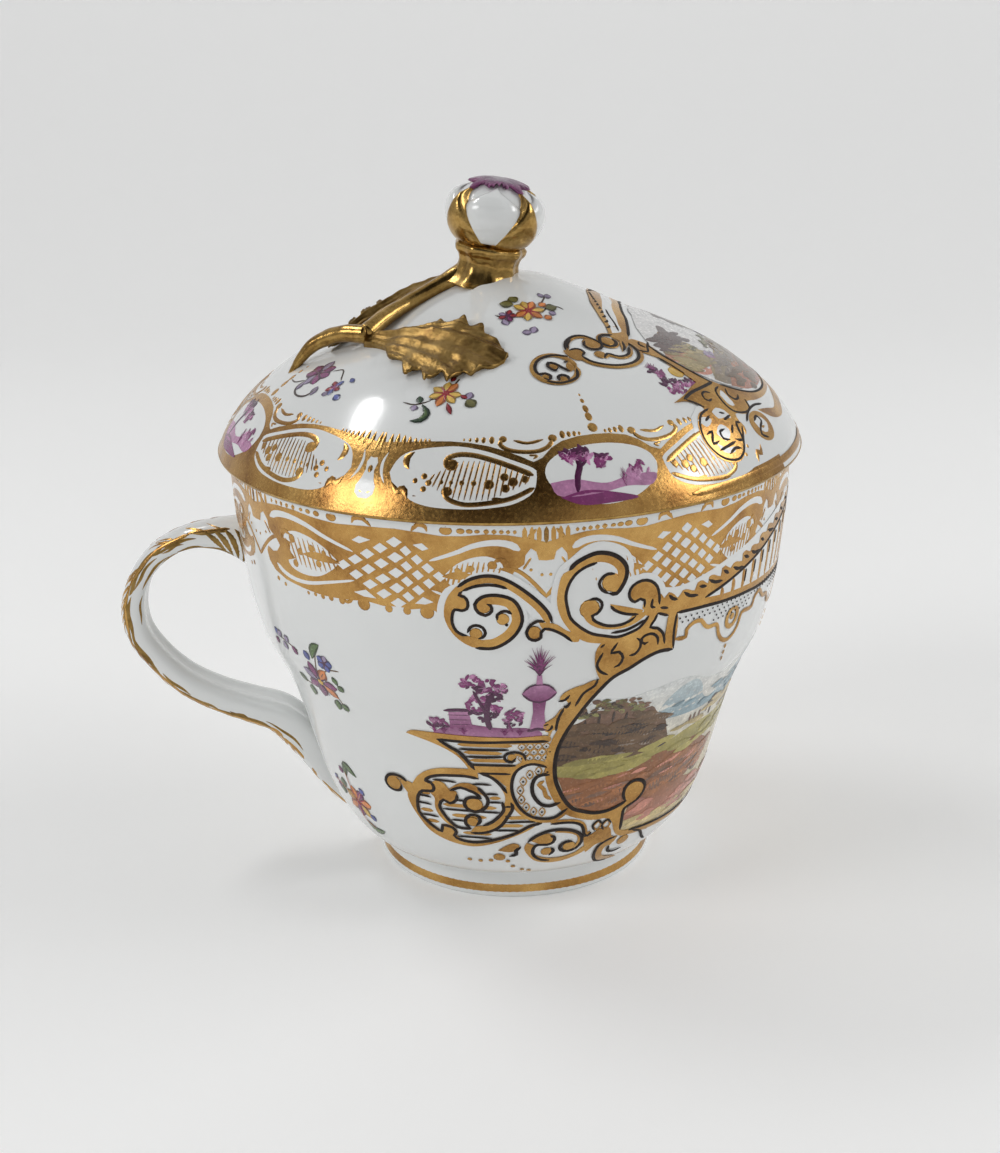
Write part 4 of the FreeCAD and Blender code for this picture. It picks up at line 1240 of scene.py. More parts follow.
scroll_gold.stroke((-90.6,27.9, -89,28.1, -88.2,27.6, -88.2,26.6), 0.6)

# Dotted crescent beside the panel
outlined((-82.5,25.7, -84.4,26.2, -86.3,26.4, -88.4,26, -90.2,25, -91.1,23.1, -90.8,21.2, -89.4,19.3,
    -87.2,17.9, -84.4,17.1, -80,17, -76.5,18.4), -1, 0.8)
lines((-81.7,24.4, -83.4,24.5, -85,24.1, -85.9,23.1, -85.9,21.6, -85,20.4, -83.4,19.4, -81.3,19.1,
    -78.5,19.6), width=0.55)
for k in range(9):
    a = math.radians(70 + 26 * k)
    phi, z = -84 + 5 * math.cos(a), 21.6 + 3.5 * math.sin(a)
    scroll_gold.lozenge(phi, z, 0.9, 0.75, 0.2)
    scroll_line.spot(phi, z, 0.17)
scroll_gold.stroke((-83,23.4, -84.3,22.8, -83,22, -82.4,20.8, -81,20.2), 0.6)
for row in range(3):
    for column in range(4):
        phi, z = -88.6 + 1.9 * column + (0.95 if row % 2 else 0), 29.3 - 0.95 * row
        scroll_gold.lozenge(phi, z, 0.95, 0.6, 0.17)
        scroll_line.spot(phi, z, 0.13)

# Great volute at the lower left
gold_fields((-99.6,25.3, -102.8,25.4, -108.8,25.1, -112.5,24.4, -115.6,23.1, -117.4,21.7, -118.4,21,
    -119.6,19.6, -119,17.7, -117.5,16, -115,13.9, -111.3,12.7, -106.9,12, -102.5,11.8, -98.8,12.2, -95,12.9,
    -90.5,14, -86.3,15.2, -84,16.2, -86.3,15.9, -90,14.8, -95,13.7, -98.8,13.1, -102.5,12.8, -106.3,13.1,
    -107.2,14, -107.8,15, -109.4,15.3, -110.8,15.1, -111.4,14, -113.1,14.5, -115.6,15.7, -117,16.9,
    -116.9,18.3, -116.2,19.8, -114.7,20.8, -112,21.1, -111.3,21.6, -112,22.5, -113.3,22.7, -112.5,23.3,
    -110,23.8, -106.3,24.1, -102.5,24.2, -99.4,23.9))
outlined((-99.2,23.9, -102.5,24.2, -106.3,24.1, -110,23.8, -112.5,23.2, -113.4,22.6, -111.9,22.4,
    -111.3,21.6, -112,21, -114.7,20.8, -116.3,19.8, -117,18.3, -117,16.8, -115.6,15.7, -113.1,14.5,
    -111.3,14, -110.6,15.2, -109.4,15.2, -107.8,15, -106.9,14.2, -107.7,13.5, -106.3,12.9, -102.5,12.6,
    -98.8,12.9, -95,13.5, -90,14.6, -86.3,15.8, -83.1,16.2), 1, 0.3, line=0.52)
gold_fields((-112.6,22, -110.6,22.9, -108.4,22.6, -107.2,21.6, -105.4,21.4, -105.3,20.3, -107.4,19.4,
    -109.1,19.9, -110.5,18.7, -109.8,17.3, -108.1,16, -106.3,15.2, -108.6,15.5, -110.9,16.8, -111.9,18.3,
    -111.6,20, -112.9,20.9), (-107.4,21.7, -104.1,22.9, -101,22.9, -98.9,22, -97.2,21, -97,19.9, -97.8,20.8,
    -99.5,21.4, -101.9,21.9, -104.1,22.2), (-102.9,14.4, -99.4,14.4, -96.3,15, -94.1,15.9, -92.4,17.2,
    -90.9,19, -91,20.6, -92.2,21.8, -93.8,22.6, -92.8,21, -93.4,19, -94.7,17.5, -96.9,16.4, -99.1,15.8,
    -101.2,15.6))
lines((-107,21.5, -104.1,22.2, -101.9,21.8, -100.3,21.4, -99.2,20.6, -100.9,20.7, -102.8,20.4, -103.6,19.5,
    -103,18.7, -100.9,18.2, -98.8,18.6, -97.3,19.8, -97.5,20.8, -98.8,21.8, -99.7,22.4), (-105.3,21,
    -105.6,20, -107.5,19.3, -109.1,19.8, -110.5,18.7, -109.7,17.3, -108.1,16, -106.3,15.2, -103.8,15.1,
    -102.3,15.2), (-102.6,15.2, -103.8,16, -103.6,16.9, -102.2,17.6, -100.3,17.5, -99.7,16.6, -100.9,15.8),
    (-93.6,20.1, -93.3,18.7, -94.7,17.5, -96.9,16.4, -99.1,15.8), (-102.7,14.4, -99.4,14.5, -96.3,15.1,
    -94.1,16, -92.5,17.3, -90.9,19.1, -91.4,20), (-98.8,24.8, -96.3,24.3, -94.1,23.1, -92.3,21.6),
    width=0.5)
discs((-100.9, 19.5, 1.2), (-101.8, 16.4, 0.85))
for start, end, z in ((-111.3, -105, 23), (-101.1, -96.1, 22.9), (-97.8, -94.5, 21.3), (-116.3, -112.5,
        19.9), (-105.3, -103.4, 19.9), (-97.2, -93.6, 19.9), (-117, -112.8, 18.6), (-109.7, -94.1, 18.2),
        (-116.6, -111.3, 16.6), (-107.8, -103.8, 16.4), (-92.8, -85, 16.5), (-96, -89, 15), (-106.9, -96.9,
        13.5), (-93, -91.4, 17.6), (-93, -91.2, 19.2)):
    scroll_line.stroke((start, z, (start + end) / 2, z + 0.08, end, z), 0.36)
pale_wash = both_sides(Paint("cup_pale_gold_wash", CUP, GOLD, "gilding", 0.05, 0.02))
for start, end, z in ((-103.5, -90.8, 29.5), (-102.3, -93.2, 28.2), (-101, -90, 26.9), (-98.5, -91.8, 25.5),
        (-109.5, -95.2, 18.9), (-116.4, -112.8, 17.4), (-115.2, -111.6, 15.6), (-107.4, -98, 17.2), (-92.4,
        -86.4, 17.2), (-95.4, -88.2, 15.8), (-105, -97, 14.2), (-96.8, -94, 20.6), (-116, -112.8, 20.4)):
    pale_wash.stroke((start, z, (start + end) / 2, z + 0.05, end, z), 0.62)
pale_wash.finish()

# Far curl, lower scrolls and the drop of leaves
outlined((-119.1,21.8, -120.6,22.4, -122.8,22.5, -124.7,22.1, -125.9,21, -125.2,20.1, -123.4,19.8,
    -121.6,20.1, -120.9,21), 1, 0.5)
discs((-123.2, 21.2, 1.15))
gold_fields((-121.2,21.9, -119.2,21.9, -117.2,21.6, -118.6,19.6, -120.2,20.6))
gold_fields((-87.2,12.6, -87.9,11.6, -86.7,10.2, -84.7,9, -81.5,8.4, -77.3,8.3, -73.5,8.7, -70,9.5,
    -68.3,10.3, -69.5,10.8, -72,9.8, -76,9.2, -80,9.2, -82.3,9.5, -84.2,10, -85.3,11, -84.9,12, -86,12.4),
    (-86,13, -83.6,12.4, -81.4,12.2, -79.7,12.8, -79.5,13.5, -81,14.2, -84,13.8), (-79.4,14.3, -75.6,13.9,
    -72.9,13.2, -72.2,12, -73.2,10.9, -71.3,10.9, -70.8,12, -71.5,13.2, -73.8,14.2, -77,14.8))
scroll_line.stroke((-86.9,12.8, -85,13.7, -81.5,14.6, -77.7,14.7, -73.8,14.1, -71.5,13.1, -71,11.8,
    -72.3,10.7, -74.6,10.3, -76.9,10.7, -77.3,11.6, -75.8,12.2, -73.8,12.2), 0.55)
lines((-80.6,13.8, -79.4,13.4, -79.6,12.5, -81.3,12.1, -83.8,12.2, -85,11.8, -85.4,10.6, -84.2,9.6, -82.3,9,
    -80,8.8), (-79.9,11.4, -79.2,10.7, -80.4,9.9), width=0.52)
discs((-82.1, 13.1, 0.8), (-81.2, 10.7, 0.85), (-74.6, 11.3, 0.95))
outlined((-80.8,15.9, -76.9,15.9, -73.8,15.6, -71.9,15, -71,14, -70.4,13, -69.4,12.8, -68.5,13.4), 1, 0.6)
gold_fields((-70.6,12.6, -68,12.9, -66,13.6, -62.6,13.4, -61,11.6, -59.5,11, -60.4,9.6, -63,10.8, -66,10.6,
    -68.6,9.4, -69.6,10.6))
for phi, z in ((-66.9, 14.3), (-64, 14.1)):
    scroll_gold.lozenge(phi, z, 1.2, 0.75, 0.3, 0.4)
    scroll_line.stroke((phi - 0.6, z - 0.8, phi - 1.5, z + 0.2, phi, z + 0.95, phi + 1.4, z + 0.2), 0.34,
        step=0.5)
gold_fields((-58.6,11.2, -62.3,10.9, -64.9,10, -65.4,8.5, -64.2,7.1, -61.5,6.2, -57,5.7, -52,5.5, -57,6.6,
    -60.6,7.3, -62.3,8.5, -61.8,9.6, -59.4,10.2))
lines((-59.6,11.2, -62.3,10.9, -64.6,10, -65,8.5, -63.8,7.1, -61.5,6.2, -57,5.7), (-60.6,9.6, -60,8.4,
    -57.6,7.9, -54.6,8.2), width=0.5)
discs((-55.6, 9.9, 1))
gold_fields((-95.4,11.2, -93.4,12, -90.9,12.6, -89.2,12.2, -90.2,11.2, -92.4,10.9))
lines((-88.8,11.9, -90.3,11.2, -90.2,10.4, -92.3,10), width=0.6)
discs((-95.3, 9.8, 0.85))
for phi, z in ((-104.7, 8.9), (-101.3, 8.8), (-98, 9), (-92.8, 8.9), (-91.3, 7.7), (-88.4, 6.8), (-86.1,
        6.5)):
    scroll_gold.spot(phi, z, 0.34)

# Lambrequin that hangs from the strap
LAMBREQUIN = (-56.7,43.8, -53.8,43.7, -53.8,44.7, -52.1,45.5, -50,45.4, -48.8,44.5, -47.5,44, -45,43.9,
    -43.8,42.3, -42.1,41.1, -39.6,40.6, -37.5,41.3, -36.5,42.5, -36,43.8, -31.3,43.8, -30.8,44.9,
    -28.3,45.5, -25.4,44.1, -22,43.6, -20,42.2, -16.5,41.6, -13.2,42.2, -11.4,43.8, -8,44.4, -4,43.4,
    -2.6,41.4, 0.2,40.6)
scroll_gold.stroke(LAMBREQUIN, 0.62)
scroll_gold.stroke((-39.8,45.4, -38,44.6, -38.2,43.2, -39.8,42.6, -41.4,43.2, -41.4,44.6, -39.8,45.4), 0.75)
scroll_gold.spot(-39.8, 44.1, 0.5)
for phi in (-39.9, -16.5, 0):
    for k in range(3):
        scroll_gold.stroke((phi, 40 - k * 0.95, phi, 39.3 - k * 0.95), 0.5 - 0.08 * k, DAB_LOOK)
for row in range(4):
    for column in range(38):
        phi = -56 + column * 1.48 + (0.74 if row % 2 else 0)
        z = 47 - row * 0.62
        if row < 2 or math.cos(math.radians((phi + 52) * 15.2)) < 0.2:
            scroll_line.spot(phi, z - 0.3, 0.15)
scroll_margin.finish()
scroll_gold.finish()
scroll_line.finish()

# Plain gold line on the foot
foot_line = Paint("foot_gold_line", CUP, GOLD, "gilding", 0, 0.04)
points = []
for k in range(61):
    points += [-180 + 6 * k, 1.45 + 0.07 * math.sin(0.5 * k) * math.sin(math.pi * k / 60)]
foot_line.stroke(points, 1.55, step=1.2)
foot_line.finish()


# The enamels

PLUM, DEEP_PLUM, PALE_PLUM = (0.205, 0.036, 0.14), (0.075, 0.014, 0.055), (0.46, 0.21, 0.37)
BROWN, DARK_BROWN, RED_BROWN = (0.14, 0.08, 0.038), (0.05, 0.028, 0.018), (0.345, 0.14, 0.055)
FIELD, GRASS, SKY, HILL = (0.6, 0.47, 0.22), (0.28, 0.24, 0.07), (0.74, 0.76, 0.75), (0.24, 0.36, 0.42)
BARK, STONE, ROSE = (0.2, 0.11, 0.07), (0.42, 0.33, 0.26), (0.52, 0.22, 0.16)
ORANGE, YELLOW, CRIMSON = (0.62, 0.2, 0.05), (0.66, 0.42, 0.09), (0.3, 0.02, 0.03)
BLUE, LEAF_GREEN, DARK_GREEN, OLIVE = (0.1, 0.12, 0.36), (0.09, 0.15, 0.05), (0.03, 0.06, 0.03), (0.16,
    0.15, 0.05)
GREY_VIOLET = (0.3, 0.24, 0.36)


def shaded(tint, share):
    return tuple(min(1, c * share) for c in tint)


def washes(paint, places, length, width, tint, lean=0):
    """Loose strokes of one colour, each a little lighter or darker than the last."""
    for phi, v in places:
        half = length * random.uniform(0.7, 1.2) / 2
        over = paint.sheet.per_degree(v)
        rise = half * math.sin(math.radians(lean)) + random.uniform(-0.1, 0.1)
        run = half * math.cos(math.radians(lean)) / over
        paint.stroke((phi - run, v - rise, phi, v + random.uniform(-0.12, 0.12), phi + run, v + rise),
            width * random.uniform(0.7, 1.2), DAB_LOOK, shaded(tint, random.uniform(0.75, 1.3)))


def scatter(count, left, right, low, high, keep):
    """Places drawn at random in a band, where keep says yes."""
    spots = []
    while len(spots) < count:
        phi, v = random.uniform(left, right), random.uniform(low, high)
        if keep(phi, v):
            spots.append((phi, v))
    return spots


def anywhere(phi, v):
    return True


def ground(paint, keep, *rows):
    """Washes scattered over bands: (count, left, right, low, high, length, width, tint, lean)."""
    for count, left, right, low, high, length, width, tint, lean in rows:
        washes(paint, scatter(count, left, right, low, high, keep), length, width, tint, lean)


random.seed(7)
cup_view = both_sides(Paint("cup_panel_painting", CUP, WASH, "enamel", 0.03, 0.02))


def panel_left(z):
    """Where the panel's curved edge is at a height."""
    edge = pairs(PANEL_EDGE)
    for (a, za), (b, zb) in zip(edge, edge[1:]):
        if min(za, zb) <= z <= max(za, zb) and za != zb:
            return a + (b - a) * (z - za) / (zb - za)
    return -58 if z < 17 else -57


def in_panel(phi, z):
    return phi > (panel_left(z) + 1 if z >= 17.2 else -57.5)


cup_view.fill((-75,35.6, -72,36.4, -66,36, -60,36.4, -54,36.9, -48,36.6, -42,35.2, -36,34.6, -28,35.4,
    -20,36.6, -12,36.2, -5,35, 0.2,34.6, 0.2,11, -20,11.2, -40,11.4, -57.8,11.8, -58.8,15, -58.8,17.2,
    -62,16.9, -66,16.8, -71,17.4, -75.2,18.5, -78.6,21.4, -80.2,25, -79.6,29, -77.4,32.8), FIELD,
    tint_top=SKY, spacing=1.4)
cup_view.fill((-56,30.4, -54,33.6, -51,35.4, -47,35.9, -43,34.2, -40,31.8, -36,30.6, -30,32.6, -25,34.6,
    -20,35.4, -14,34, -8,31, -2,29.8, 0.2,29.6, 0.2,28.6, -25,29.2, -45,29.6), HILL, tint_top=(0.5, 0.58,
    0.6), spacing=1.4)
cup_view.fill((-77.9,32.4, -75.2,33, -72,34.6, -69,34.2, -66.6,35.3, -63.6,34.6, -61,33.2, -58,33.4,
    -55.4,31.8, -52.6,30.6, -50.6,28.4, -49.2,26.2, -50,25, -60,24.6, -70,24.8, -79.8,25.4, -79.4,29.4),
    BROWN, tint_top=BARK, spacing=1.3)
cup_view.fill((-80,25.6, -70,25.4, -60,25.2, -50,25.6, -40,26.6, -26,26.4, -12,26.8, 0.2,26.6, 0.2,23.6,
    -20,23.2, -40,23.4, -60,23, -79.6,23.6), GRASS, tint_top=shaded(GRASS, 1.6), spacing=1.4)
cup_view.fill((-79.8,23.8, -70,23, -60,22.8, -52,24.2, -44,24, -36,24.2, -30,22.8, -25,21, -26,19.2,
    -34,18.2, -46,17.4, -56,17, -62,17, -70,17.2, -76,19.2), RED_BROWN, tint_top=shaded(RED_BROWN, 0.8),
    spacing=1.3)
cup_view.fill((-57.5,17.2, -50,17.8, -40,17.9, -30,16.6, -20,15.2, -8,14.8, 0.2,15.4, 0.2,12.8, -20,13,
    -40,13.8, -58.2,14), ROSE, tint_top=shaded(RED_BROWN, 0.9), spacing=1.4)
# Trees and bushes on the bank, and two more in the distance.
cup_view.rise += 0.016
cup_view.crown = 0.007
for phi, z, size in ((-74.5, 34.2, 1.7), (-71.4, 35.2, 2), (-68, 35, 1.5), (-64.6, 34.6, 1.9), (-61, 33.4,
        1.4), (-15.5, 31, 2), (-11.8, 30.2, 1.6), (-32, 29.2, 1)):
    for k in range(15):
        a, r = random.uniform(0, 360), size * random.uniform(0.1, 0.95)
        x, y = r * math.cos(math.radians(a)) * 1.7, r * math.sin(math.radians(a)) * 0.8
        tint = random.choice((DARK_BROWN, BROWN, OLIVE, BARK, shaded(OLIVE, 1.5)))
        washes(cup_view, [(phi + x, z + y)], 1.3, 0.75, tint, random.uniform(-50, 50))
    cup_view.rise += 0.003
    cup_view.stroke((phi, z - size * 0.6, phi + 0.3, z - size - 1.4), 0.4, LINE_LOOK, DARK_BROWN)
ground(cup_view, in_panel, (60, -79, -51, 26, 32.4, 3.6, 1.4, BROWN, -6), (34, -79, -51, 25.6, 31, 3.2, 1,
    DARK_BROWN, -8), (12, -77, -51, 26, 32, 2.4, 0.6, shaded(STONE, 0.6), -8))
cup_view.rise += 0.004
ground(cup_view, in_panel, (46, -79, -1, 23.2, 26.2, 4.2, 1.1, shaded(GRASS, 1.3), 2), (30, -46, -1, 26.6,
    29.4, 4, 0.9, shaded(FIELD, 0.85), 0), (60, -78, -26, 17.8, 22.8, 3.8, 1.4, RED_BROWN, 8), (30, -78,
    -30, 18, 21.6, 3.2, 1, BARK, 10), (18, -76, -30, 18.4, 22.4, 2.8, 0.7, shaded(ROSE, 1.2), 8), (34, -56,
    -2, 13, 16.8, 3.8, 1.2, ROSE, 4), (26, -56, -2, 12.2, 13.8, 3.8, 1, FIELD, 2), (20, -52, -4, 30, 32.6,
    3, 0.9, HILL, 6))
for phi in (-42, -40.2, -38, -34.4, -20):
    cup_view.stroke((phi, 28.9, phi + 0.2, 27.6), 0.5, DAB_LOOK, BARK)
cup_view.finish()

# A garden in one purple colour, over the platform: an urn of leaves, a low wall, bushes and tufts.
cup_garden = both_sides(Paint("cup_purple_garden", CUP, WASH, "enamel", 0.03, 0.03))


def plume(paint, phi, v, height, spread, count, tint, width=0.28):
    """Thin leaves that fan up from one place."""
    for k in range(count):
        share = 2 * (k + 0.5) / count - 1
        over = paint.sheet.per_degree(v)
        reach = height * (1 - 0.45 * share * share) * random.uniform(0.8, 1.05)
        x = spread * share / over
        paint.stroke((phi, v, phi + 0.35 * x, v + 0.55 * reach, phi + x, v + reach), width, DROP_LOOK,
            shaded(tint, random.uniform(0.7, 1.4)))


def bush(paint, phi, v, wide, tall, tints, count=40):
    """A round mass of leaf dabs, darker below."""
    over = paint.sheet.per_degree(v)
    for _ in range(count):
        a, r = random.uniform(0, 2 * math.pi), math.sqrt(random.uniform(0, 1))
        x, y = r * math.cos(a) * wide, r * math.sin(a) * tall
        tint = tints[0] if y < -0.2 * tall else random.choice(tints[1:])
        washes(paint, [(phi + x / over, v + y)], 0.95, 0.6, tint, random.uniform(-70, 70))
    paint.rise += 0.015


PLUMS = (DEEP_PLUM, PLUM, PALE_PLUM, PLUM)
cup_garden.fill((-109,31.2, -106,32.4, -102,33.3, -98,33, -93,32.6, -88,32.6, -84.5,31.9, -84,31.1,
    -96,31.1), PALE_PLUM, tint_top=PLUM)
cup_garden.fill((-104.6,32.2, -104.2,35.2, -99.8,35.5, -99.4,32.4), PLUM, smooth=False, tint_top=PALE_PLUM)
for k in range(3):
    cup_garden.stroke((-104.5, 33 + 0.85 * k, -99.5, 33.2 + 0.85 * k), 0.2, LINE_LOOK, DEEP_PLUM)
cup_garden.stroke((-105.2,35.4, -102,35.7, -98.9,35.7), 0.6, LINE_LOOK, DEEP_PLUM)
bush(cup_garden, -96.4, 36.2, 2.3, 2.4, PLUMS, 62)
bush(cup_garden, -94.4, 39.2, 1.8, 1.7, PLUMS, 40)
bush(cup_garden, -98.6, 39.9, 1.4, 1.3, PLUMS, 26)
bush(cup_garden, -107.2, 33, 1.4, 0.9, PLUMS, 24)
cup_garden.stroke((-95.6,32.4, -96,34.6, -95.6,37, -94.6,38.6), 0.8, LINE_LOOK, DEEP_PLUM)
cup_garden.stroke((-95.8,35, -97.4,37.4, -98.4,39), 0.45, LINE_LOOK, DEEP_PLUM)
cup_garden.stroke((-90.6,32, -91.4,33.4, -91.2,35.4, -89.9,36.4), 0.35, LINE_LOOK, PLUM)
bush(cup_garden, -90.4, 34.4, 1.3, 1.5, PLUMS, 24)
# Urn on its pedestal, with leaves fanned above it.
cup_garden.fill((-86.9,32.2, -86.3,35.4, -86.5,37.4, -83.7,37.4, -83.9,35.4, -83.3,32.2), PALE_PLUM,
    smooth=False, tint_top=PLUM)
cup_garden.fill((-88.6,38.6, -87,39.6, -85.1,39.9, -83.2,39.6, -81.6,38.6, -82.8,37.6, -85.1,37.1,
    -87.4,37.6), PLUM, tint_top=PALE_PLUM)
cup_garden.stroke((-88.6,38.6, -87,37.6, -85.1,37.2, -83.2,37.6, -81.6,38.6), 0.36, LINE_LOOK, DEEP_PLUM)
cup_garden.stroke((-88.4,38.8, -87,39.7, -85.1,39.95, -83.2,39.7, -81.8,38.8), 0.26, LINE_LOOK, DEEP_PLUM)
cup_garden.stroke((-87.4,32.1, -85.1,32.5, -82.9,32.1), 0.65, LINE_LOOK, DEEP_PLUM)
cup_garden.fill((-85.9,39.4, -85.6,41.4, -84.7,41.4, -84.4,39.4), PALE_PLUM, smooth=False)
plume(cup_garden, -85.15, 41.3, 4.4, 2.1, 21, PLUM)
plume(cup_garden, -85.15, 41.3, 2.6, 1.7, 15, DEEP_PLUM)
for phi in (-108.4, -106.2, -101.6, -92.4, -89):
    plume(cup_garden, phi, 31.4, 1.3, 0.7, 6, PLUM, 0.2)
cup_garden.finish()


# Sprays of flowers: each is set down once, petal by petal.

def dabs(paint, tint, width, *runs):
    """Single petals and leaves, each with a thin dark rim, and each a hair over the last."""
    for run in runs:
        paint.stroke(run, 1.3 * width + 0.22, DAB_LOOK, shaded(tint, 0.4))
        paint.rise += 0.002
        paint.stroke(run, 1.25 * width, DAB_LOOK, shaded(tint, random.uniform(0.8, 1.2)))


def stems(paint, tint, width, *runs):
    for run in runs:
        paint.stroke(run, width, LINE_LOOK, tint)


def blossom(paint, phi, v, reach, width, tints, heart):
    """Petals that overlap round one heart, one for each tint, with short strokes between them."""
    over = paint.sheet.per_degree(v)
    count = len(tints)
    for k, tint in enumerate(tints):
        turn = 2 * math.pi * (k + random.uniform(-0.18, 0.18)) / count
        x, y = math.cos(turn) * reach, math.sin(turn) * reach * random.uniform(0.85, 1.05)
        dabs(paint, tint, width, (phi + 0.22 * x / over, v + 0.22 * y, phi + x / over, v + y))
    paint.rise += 0.004
    for k in range(count):
        turn = 2 * math.pi * (k + 0.5) / count
        x, y = math.cos(turn) * reach, math.sin(turn) * reach
        paint.stroke((phi, v, phi + 0.72 * x / over, v + 0.72 * y), 0.42, DROP_LOOK, heart)
    paint.spot(phi, v, 0.42, shaded(heart, 0.7))
    paint.rise -= 0.004


random.seed(21)
cup_sprays = both_sides(Paint("cup_flower_sprays", CUP, WASH, "enamel", 0.03, 0.02))
stems(cup_sprays, BROWN, 0.22, (-137,36, -133,38.2, -129.2,38.7), (-136.6,36, -133.6,33.4, -132.3,31.2),
    (-137.6,35.6, -141.4,34.2, -145,34.6), (-137,37.4, -135.4,40.4, -133.5,42.1), (-150.6,40.4, -146.4,40.2,
    -142,39.6))
blossom(cup_sprays, -137.4, 35.6, 3.3, 1.3, (PLUM, ORANGE, PLUM, GREY_VIOLET, PLUM, PLUM, ORANGE), DEEP_PLUM)
blossom(cup_sprays, -133.2, 39.3, 1.5, 0.9, (BLUE, GREY_VIOLET, BLUE, BLUE, BLUE), DEEP_PLUM)
dabs(cup_sprays, BLUE, 0.95, (-150.8,40.6, -149.2,41.3), (-138.2,38.9, -139.4,40.2))
dabs(cup_sprays, LEAF_GREEN, 1, (-137,39.4, -135.6,41.2, -133.5,42.1), (-131.4,36, -130,35.2), (-132.4,36.6,
    -130.8,36.9), (-144,34.2, -145.8,35.4), (-142.8,33.9, -144.2,31.9), (-133.4,32.4, -131.6,31.6),
    (-134.4,33, -135.4,31.2))
dabs(cup_sprays, GREY_VIOLET, 0.85, (-149.6,40.5, -147.6,41.3), (-146.6,40.3, -144.9,41), (-147.6,40,
    -146.6,38.8))
dabs(cup_sprays, PLUM, 0.7, (-150.2,39.9, -151.6,39), (-144,39.9, -142.4,38.9))
cup_sprays.rise += 0.02
cup_sprays.spot(-137.3, 35.5, 0.55, YELLOW)
stems(cup_sprays, ROSE, 0.22, (-142.6,14.4, -147,16, -151.7,16.7), (-142.2,14.8, -143.4,17, -143.7,19.2),
    (-142,13.4, -142.6,11.4, -138.6,10.2), (-141.6,14.6, -138.8,16.4))
cup_sprays.rise = 0
blossom(cup_sprays, -141.6, 14.4, 2.9, 1.3, (ORANGE, PLUM, ORANGE, YELLOW, ORANGE, PLUM, YELLOW), CRIMSON)
dabs(cup_sprays, BLUE, 0.95, (-138.9,16.5, -137.2,17.1), (-138,12.8, -136.2,11.9), (-150.8,16.4,
    -152.2,17.1))
dabs(cup_sprays, LEAF_GREEN, 1, (-143.9,18.3, -142.6,20.4, -138.3,19.2), (-142.6,11, -139.4,9.7,
    -134.6,10.2), (-146.6,15.9, -147.4,17.5), (-148.4,15.9, -149,14.4))
dabs(cup_sprays, PLUM, 0.8, (-145.2,18.6, -146.6,19.6), (-150,16.3, -150.4,15))
cup_sprays.rise += 0.03
cup_sprays.spot(-142, 14.2, 0.5, CRIMSON)
cup_sprays.rise = 0
cup_sprays.finish()

# The lid's gilt border. Half a unit runs from the gap between two long windows, at 0, to the middle of
# a medallion, at 45.
LID_HALF_UNIT = 45
LID_GAPS = ((-117.6, 1), (-117.6, -1), (-27.6, -1), (62.4, 1), (62.4, -1), (152.4, 1), (152.4, -1))
MEDALLIONS = (-72.6, 107.4, -162.6)
LID_TURNS = [border_turn(middle, way, LID_HALF_UNIT, LID_HALF_UNIT) for middle, way in LID_GAPS]

lid_border = Paint("lid_border_gold", LID, GOLD, "gilding", 0, 0.05)
lid_border.turns = LID_TURNS
lid_border.fill((-0.2,40.95, 15,40.95, 30,40.95, 45.2,40.95, 45.2,34.1, 41.5,34.2, 38,34.6, 35.6,35.3,
    33.6,36.3, 31.8,36.7, 29.4,36.1, 26.6,35.5, 23,34.95, 19,34.6, 15,34.5, 11,34.6, 7,34.8, 3.4,35,
    -0.2,35.2), smooth=False, spacing=1.1)
for k, (x, top, foot) in enumerate(((0.4, 34, 36.9), (2.1, 34.1, 36.4), (3.5, 34, 35.8), (4.9, 34.1, 35.5),
        (6.2, 34.2, 35.3), (7.5, 34.3, 35.2), (8.6, 34.35, 35.2), (9.6, 34.3, 35.1), (10.5, 34.3, 35))):
    lid_border.stroke((x + 0.5, foot, x + 0.1, (top + foot) / 2, x, top), 0.78 - 0.05 * k, DAB_LOOK)
for x, size in ((17.8, 0.13), (19.1, 0.18), (20.5, 0.24), (21.9, 0.28), (23.6, 0.34), (38.4, 0.36), (39.8,
        0.27), (41, 0.25), (42.1, 0.18)):
    lid_border.spot(x, 34.25 - 0.4 * (x > 30), size, tall=1.7)
lid_border.stroke((25.8,34.2, 25.3,34.7, 26.8,35.3, 30.1,35.6, 33.4,35.5, 35.3,35, 36.1,34.4), 0.62,
    step=0.5)
lid_border.stroke((28.1,34.3, 30.9,34.65, 34.2,34.3), 0.46)
lid_border.spot(25.9, 34.15, 0.5)
lid_border.spot(36.2, 34.2, 0.58)
lid_border.finish()

lid_windows = Paint("lid_border_windows", LID, GLAZE, "cover_glaze", 0.05, 0.02)
lid_windows.turns = LID_TURNS
lid_windows.fill((4.2,38, 5,36.9, 6.4,36.1, 9.6,35.5, 13,35.2, 17,35.05, 22.4,35.5, 27.4,36.4, 32.2,37.5,
    32.2,38, 31.4,39.2, 28.4,39.9, 24,40.2, 17.6,40.3, 12.2,40.2, 9.2,39.9, 7.4,39.4, 5.4,38.9),
    spacing=1.1)
lid_windows.fill((-0.2,36.9, 0.7,36.8, 1.2,37.3, 0.9,38, 1.3,38.7, 2,39.3, 1.9,39.8, 0.9,40.1, -0.2,40.1),
    smooth=False)
lid_windows.stroke((2.7,36.2, 2.2,37.2, 2.6,38.2, 3.6,38.9), 0.42, DAB_LOOK)
lid_windows.fill((29,35.95, 31.9,36, 34,35.9, 32.4,36.5, 31.4,36.6), smooth=False)
lid_windows.finish()

